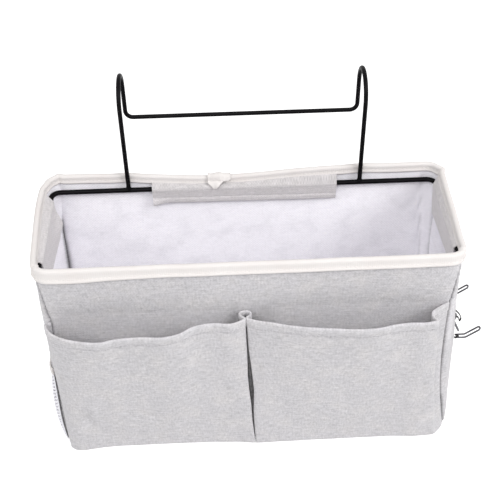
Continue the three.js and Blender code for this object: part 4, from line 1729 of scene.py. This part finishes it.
def front_pockets() -> list[FrontPocket]:
    """The two pockets, with the strips' stations as the photograph shows them.

    Returns:
        The left and the right pocket.
    """
    left = FrontPocket(
        name="left_pocket", node="left_front_pocket", pleat_end=15, slit_side=-1,
        hem=((-151.8, -54.2), (-154.4, -58.2), (-153.8, -63.4), (-150.2, -69.0), (-142, -74.2),
             (-131, -77.8), (-119, -79.9), (-111, -80.1), (-104, -78.3), (-84, -77), (-64, -77.6),
             (-54, -75), (-43, -69), (-30, -66.6), (-13, -67.1), (-5.1, -62), (-8.3, -59.4),
             (-8.6, -56.4), (-4.4, -54.6)),
        foot=((-158.2, -49.0), (-157.2, -52), (-155.2, -54.8), (-151.5, -57.2), (-145, -58),
              (-135, -56.8), (-122, -55.6), (-113, -55.3), (-105, -55.2), (-84, -55), (-64, -55),
              (-54, -55), (-43, -55.1), (-28, -55.6), (-10, -56.5), (1.7, -57.8), (-1.6, -56.6),
              (-2.4, -55.3), (2.2, -54.6)),
        creases_and_painted_shade=((-139, 62, -132, 36, 4.5, -1.1), (-127, 72, -130, 44, 3.5, 0.9),
                 (-146, 24, -137, 44, 4.0, 0.9), (-92, 52, -78, 44, 7.0, -0.6)),
        foot_rounding=5.0, end_drop=5.0)
    right = FrontPocket(
        name="right_pocket", node="right_front_pocket", pleat_end=3, slit_side=1,
        hem=((-4.0, -54.6), (-0.4, -56.4), (-0.9, -59.4), (-3.7, -61.6), (3, -65.2), (14, -67.9),
             (26, -71), (40, -73.7), (62, -76.2), (84, -77.8), (95, -77.2), (106, -75), (118, -73.7),
             (133, -73.7), (139.2, -71.8), (136.6, -68.6), (136.7, -64.4), (142, -59.6), (150.6, -54.4)),
        foot=((2.6, -54.6), (6.6, -55.3), (6.2, -56.6), (3.3, -57.9), (10, -58.2), (20, -58),
              (31, -57.8), (45, -57.6), (66, -57.4), (88, -57.2), (99, -57.1), (110, -57.1), (124, -57.3),
              (142, -58.2), (156.2, -57.4), (158.6, -55.8), (160.5, -54.0), (163.2, -51.2), (166, -47.4)),
        creases_and_painted_shade=((150, 40, 141, 10, 5.0, 0.7), (60, 120, 66, 60, 9.0, 0.5)),
        swept_end=True)
    return [left, right]


@dataclass
class NetPocket:
    """The knitted net on the left side wall, with a folded hem along its mouth.

    Attributes:
        cloth_share: What the net's holes leave of its flat area; not used.
    """

    bag: BagCloth
    foot: float = 5.0
    height: float = 87.0
    length: float = 112.0
    cell: float = 4.2
    strand: float = 1.2
    strand_depth: float = 0.3
    stand_off: float = 0.9
    fullness: float = 3.0
    mouth: float = 0.8
    cloth_share: float = 0.85
    edge_power: int = 14
    hem_gap: float = 0.2
    hem_height: float = 6.0
    hem_cloth: float = 1.5

    def line(self, height: float, shares: np.ndarray) -> np.ndarray:
        """The net's place at one height, from the back left seam round the front corner.

        Args:
            height: Height above the floor.
            shares: Places along the line, 0 at the back left seam and 1 at the front left one.

        Returns:
            A point for each share, in millimetres.
        """
        ring, seams = self.bag.form.ring(height, 0.0)
        tangent = np.roll(ring, -1, axis=0) - np.roll(ring, 1, axis=0)
        outward = np.stack([tangent[:, 1], -tangent[:, 0]], axis=1)
        outward /= np.linalg.norm(outward, axis=1, keepdims=True)
        first, last = seams[Seam.BACK_LEFT.value], seams[Seam.FRONT_LEFT.value] + 1.0
        at = (first + (last - first) * shares) * len(ring)
        wide = np.arange(2 * len(ring))
        x, y, out_x, out_y = (
            np.interp(at, wide, np.tile(values, 2))
            for values in (ring[:, 0], ring[:, 1], outward[:, 0], outward[:, 1]))
        up = min(max((height - self.foot) / self.height, 0.0), 1.0)
        across = 1 - np.abs(2 * shares - 1) ** self.edge_power
        stand = self.stand_off + across * (self.fullness * math.sin(math.pi * up) + self.mouth * up)
        return np.stack([x + out_x * stand, y + out_y * stand, np.full_like(x, height)], axis=1)

    def build(self) -> None:
        """Adds the hem, knits the net as a network of cells, and gives its strands a body."""
        self.build_hem()
        columns = round(self.length / self.cell)
        rows = round(self.height / self.cell)
        shares = np.linspace(0, 1, 2 * columns + 1)
        heights = self.foot + self.height * np.linspace(0, 1, 2 * rows + 1)
        places = np.stack([self.line(float(height), shares) for height in heights])
        cells = []
        for row in range(2 * rows + 1):
            for column in range((row + 1) % 2, 2 * columns + 1, 2):
                corners = [(row, column - 1), (row - 1, column), (row, column + 1), (row + 1, column)]
                kept = [(r, c) for r, c in corners if 0 <= r <= 2 * rows and 0 <= c <= 2 * columns]
                if len(kept) >= 3:
                    cells.append(kept)
        knots = {knot: index for index, knot in enumerate(dict.fromkeys(sum(cells, [])))}
        points = np.array([places[knot] for knot in knots])
        faces = [[knots[knot] for knot in cell] for cell in cells]
        net = new_mesh_piece("net_mesh", points, faces, [NET_THREAD])
        make_active(net)
        bpy.ops.object.mode_set(mode="EDIT")
        bpy.ops.mesh.select_all(action="SELECT")
        bpy.ops.mesh.normals_make_consistent(inside=False)
        bpy.ops.mesh.inset(use_individual=True, thickness=self.strand / 2 * MM)
        bpy.ops.mesh.delete(type="FACE")
        bpy.ops.object.mode_set(mode="OBJECT")
        body = net.modifiers.new("body", "SOLIDIFY")
        body.thickness, body.offset = self.strand_depth * MM, 0.0
        bpy.ops.object.modifier_apply(modifier=body.name)
        finish_piece(net, ["net_pocket"], smooth_degrees=80)

    def build_hem(self) -> None:
        """A folded band of the same net cloth along the mouth."""
        base = self.foot + self.height + self.hem_gap
        heights = base + self.hem_height * np.linspace(0, 1, 7)
        points = np.stack([self.line(float(height), np.linspace(0, 1, 81)) for height in heights])
        grid = ClothGrid(points, measured_uv(points)).moved_out(0.25 * soft_noise(points, 9.0, 3.0))
        hem = grid.solid("net_hem", self.hem_cloth, [CREAM_TAPE])
        finish_piece(hem, ["net_pocket_hem"])


# Side hooks

@dataclass(frozen=True)
class HookStation:
    """One hook and the tape loop that carries it.

    Attributes:
        name: front, middle or rear.
        angle: How far the hook hangs down at rest, in degrees.
        loop: The tape's line, as distance from the wall and height beside the root bar.
    """

    name: str
    angle: float = 0.0
    loop: Stations = ((0, 2.0), (1.6, 1.8), (3.3, 0.5), (3.3, -0.5), (1.6, -1.8), (0, -2.0))

    @property
    def body(self) -> str:
        """The CAD body that the hook rides on."""
        return f"{self.name}_hook"


@dataclass
class SideHooks:
    """Three closed hooks of thin bright wire; each root bar turns in a loop of black tape, whose black also
    paints the shade inside the loop.
    """

    stations: tuple[HookStation, ...] = (
        HookStation("front"),
        HookStation("middle", 103.0, ((0, 6), (3, 3), (6.6, -6.6), (5.8, -8.0), (3.6, -3.6), (0, -1.9))),
        HookStation("rear"))
    wire: float = 1.5
    strands: float = 3.6
    straight: float = 5.2
    rise: float = 13.0
    bend_radius: float = 4.0
    bend_angle: float = 38.0
    root_radius: float = 1.2
    seat: float = 1.75
    tape: float = 0.7
    tape_width: float = 1.8

    def build(self) -> None:
        """Bends each hook about its joint and folds its loop."""
        pivots = {joint["child"]: Vector(joint["pos_m"]) / MM for joint in frame["joints"]}
        for station in self.stations:
            self.build_hook(station, pivots[station.body])
            self.build_loop(station, pivots[station.body] - Vector((self.seat, 0, 0)))

    def build_hook(self, station: HookStation, pivot: Vector) -> None:
        """Bends one hook: root bar, first strand, round tip, second strand and back.

        Args:
            station: Which hook.
            pivot: Its joint's place.
        """
        turned = Matrix.Rotation(math.radians(station.angle), 3, "Y")
        half = self.strands / 2
        lean = math.radians(self.bend_angle)
        bender = WireBender(f"{station.name}_hook_wire", pivot, Vector((0, -1, 0)), self.wire, 12, turned)
        bender.feed(half - self.root_radius).bend(self.root_radius, 90, Vector((0, 0, 1)), 5)
        bender.feed(self.straight - self.root_radius)
        bender.bend(self.bend_radius, self.bend_angle, Vector((0, -1, 0)), 5).feed(self.rise - half, 2)
        bender.bend(half, 180, Vector((-math.sin(lean), 0, math.cos(lean))), 12)
        bender.feed(self.rise - half, 2).bend(self.bend_radius, self.bend_angle, Vector((0, 1, 0)), 5)
        bender.feed(self.straight - self.root_radius)
        bender.bend(self.root_radius, 90, Vector((0, 0, 1)), 5).feed(half - self.root_radius)
        hook = bender.finished(BRIGHT_WIRE, closes=True)
        finish_piece(hook, [f"{station.name}_side_hook"], station.body)

    def build_loop(self, station: HookStation, wall: Vector) -> None:
        """Folds one loop of tape out from the wall and back.

        Args:
            station: Which hook's loop.
            wall: Where the loop is sewn on.
        """
        line = np.array(station.loop, float)
        knots = lengths_along(line)
        path = through_stations(line, knots, np.linspace(0, knots[-1], 33))
        across = np.linspace(-self.tape_width / 2, self.tape_width / 2, 7)
        points = np.zeros((len(path), len(across), 3))
        points[..., 0] = wall.x + path[:, 0][:, None]
        points[..., 1] = wall.y + across[None]
        points[..., 2] = wall.z + path[:, 1][:, None]
        points = points[::-1]
        grid = ClothGrid(points, measured_uv(points)).moved_out(0.1 * soft_noise(points, 3.0, 5.0))
        loop = grid.solid(f"{station.name}_loop_tape", self.tape, [BLACK_TAPE_AND_PAINTED_SHADE], outside_share=0.0)
        finish_piece(loop, [f"{station.name}_hook_loop"])


# Stage, light and camera

@dataclass
class Studio:
    """A plain pale floor, soft light from large lamps, and the camera at the photograph's angle.

    Attributes:
        azimuth, elevation, roll: The camera's angles in degrees.
        lamps: Each lamp's name, place, diameter and power in watts.
    """

    azimuth: float = -2.119
    elevation: float = 41.249
    roll: float = -0.797
    distance: float = 740.348
    target: tuple[float, float, float] = (1.964, 0.0, 170.923)
    lens: float = 67.389
    white: tuple[float, float, float, float] = linear("ffffff")
    floor_size: float = 8000.0
    floor_drop: float = 0.3
    floor_glow: float = 0.45
    lamp_target: tuple[float, float, float] = (0.0, 0.0, 110.0)
    world_light: float = 0.58
    lamps: tuple[tuple[str, tuple[float, float, float], float, float], ...] = (
        ("key", (-250, -1250, 1630), 700, 12.6),
        ("right", (1300, -700, 1300), 900, 19.0),
        ("left", (-1300, -700, 1300), 900, 7.0))

    def build(self) -> None:
        """Sets up the floor, lamps, world, camera and view."""
        self.build_camera()
        self.build_floor()
        self.build_lamps()
        self.build_world()
        bpy.context.scene.view_settings.view_transform = "Standard"

    def build_camera(self) -> None:
        """The camera, from the angles and distance that match the photograph."""
        azimuth, elevation, roll = (math.radians(a) for a in (self.azimuth, self.elevation, self.roll))
        back = Vector((
            math.sin(azimuth) * math.cos(elevation), -math.cos(azimuth) * math.cos(elevation),
            math.sin(elevation)))
        right = (-back).cross(Vector((0, 0, 1))).normalized()
        up = right.cross(-back)
        rolled_right = right * math.cos(roll) + up * math.sin(roll)
        rolled_up = up * math.cos(roll) - right * math.sin(roll)
        data = bpy.data.cameras.new("camera")
        data.lens = self.lens
        data.sensor_width = 36.0
        data.clip_start, data.clip_end = 0.01, 50.0
        camera = bpy.data.objects.new("camera", data)
        axes = Matrix((rolled_right, rolled_up, back)).transposed().to_4x4()
        axes.translation = (Vector(self.target) + back * self.distance) * MM
        camera.matrix_world = axes
        bpy.context.scene.collection.objects.link(camera)
        bpy.context.scene.camera = camera

    def seen(self, tree: bpy.types.NodeTree) -> bpy.types.Node:
        """Adds nodes that tell which rays see the background: the camera's, a gloss's and clear pieces'.

        Args:
            tree: The nodes of the floor or the world.

        Returns:
            A node that gives 1 for those rays and 0 for others.
        """
        rays = add_node(tree, "ShaderNodeLightPath")
        bent = add_node(tree, MATH, {
            0: rays.outputs["Is Glossy Ray"], 1: rays.outputs["Is Transmission Ray"]}, operation="MAXIMUM")
        return add_node(tree, MATH, {0: rays.outputs["Is Camera Ray"], 1: bent}, operation="MAXIMUM")

    def build_floor(self) -> None:
        """A white sweep of paper: it takes the object's shadow, and the camera sees it as white."""
        deselect_all()
        bpy.ops.mesh.primitive_grid_add(
            x_subdivisions=8, y_subdivisions=8, size=self.floor_size * MM,
            location=(0, 0, -self.floor_drop * MM))
        floor = bpy.context.object
        floor.name = "paper_floor"
        bpy.ops.object.transform_apply(location=True, rotation=True, scale=True)
        material = bpy.data.materials.new("white_paper")
        material.use_nodes = True
        tree = material.node_tree
        tree.nodes.clear()
        paper = add_node(tree, "ShaderNodeBsdfDiffuse", {"Color": linear("ececec")})
        glow = add_node(tree, "ShaderNodeEmission", {
            "Color": self.white,
            "Strength": add_node(tree, MATH, {0: self.seen(tree), 1: self.floor_glow}, operation="MULTIPLY"),
        })
        both = add_node(tree, "ShaderNodeAddShader", {0: paper, 1: glow})
        add_node(tree, "ShaderNodeOutputMaterial", {"Surface": both})
        floor.data.materials.append(material)
        deselect_all()

    def build_lamps(self) -> None:
        """Large soft lamps that all look at the bag's middle."""
        middle = Vector(self.lamp_target)
        for name, place, size, power in self.lamps:
            data = bpy.data.lights.new(name, "AREA")
            data.shape, data.size, data.energy = "DISK", size * MM, power
            lamp = bpy.data.objects.new(name, data)
            at = Vector(place)
            lamp.matrix_world = Matrix.Translation(at * MM) @ (
                (at - middle).to_track_quat("Z", "Y").to_matrix().to_4x4())
            bpy.context.scene.collection.objects.link(lamp)

    def build_world(self) -> None:
        """An even white world: plain light on the object, white where the camera or a gloss sees it."""
        world = bpy.data.worlds.new("studio")
        bpy.context.scene.world = world
        world.use_nodes = True
        tree = world.node_tree
        tree.nodes.clear()
        strength = add_node(tree, MATH, {
            0: self.seen(tree), 1: 1.0 - self.world_light, 2: self.world_light}, operation="MULTIPLY_ADD")
        light = add_node(tree, "ShaderNodeBackground", {"Color": self.white, "Strength": strength})
        add_node(tree, "ShaderNodeOutputWorld", {"Surface": light})


def main() -> None:
    """Builds the camera, then the caddy from the bag outwards."""
    logging.basicConfig(level=logging.INFO, format="%(name)s: %(message)s")
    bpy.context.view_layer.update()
    Studio().build()
    form = BagForm()
    bag = BagCloth(form)
    bag.build()
    RimBinding(bag).build()
    wires = WireFrame()
    wires.build()
    HoopFacings(bag, wires).build()
    BindingTail(bag).build()
    for pocket in front_pockets():
        pocket.build()
    NetPocket(bag).build()
    SideHooks().build()


if __name__ == "__main__":
    main()
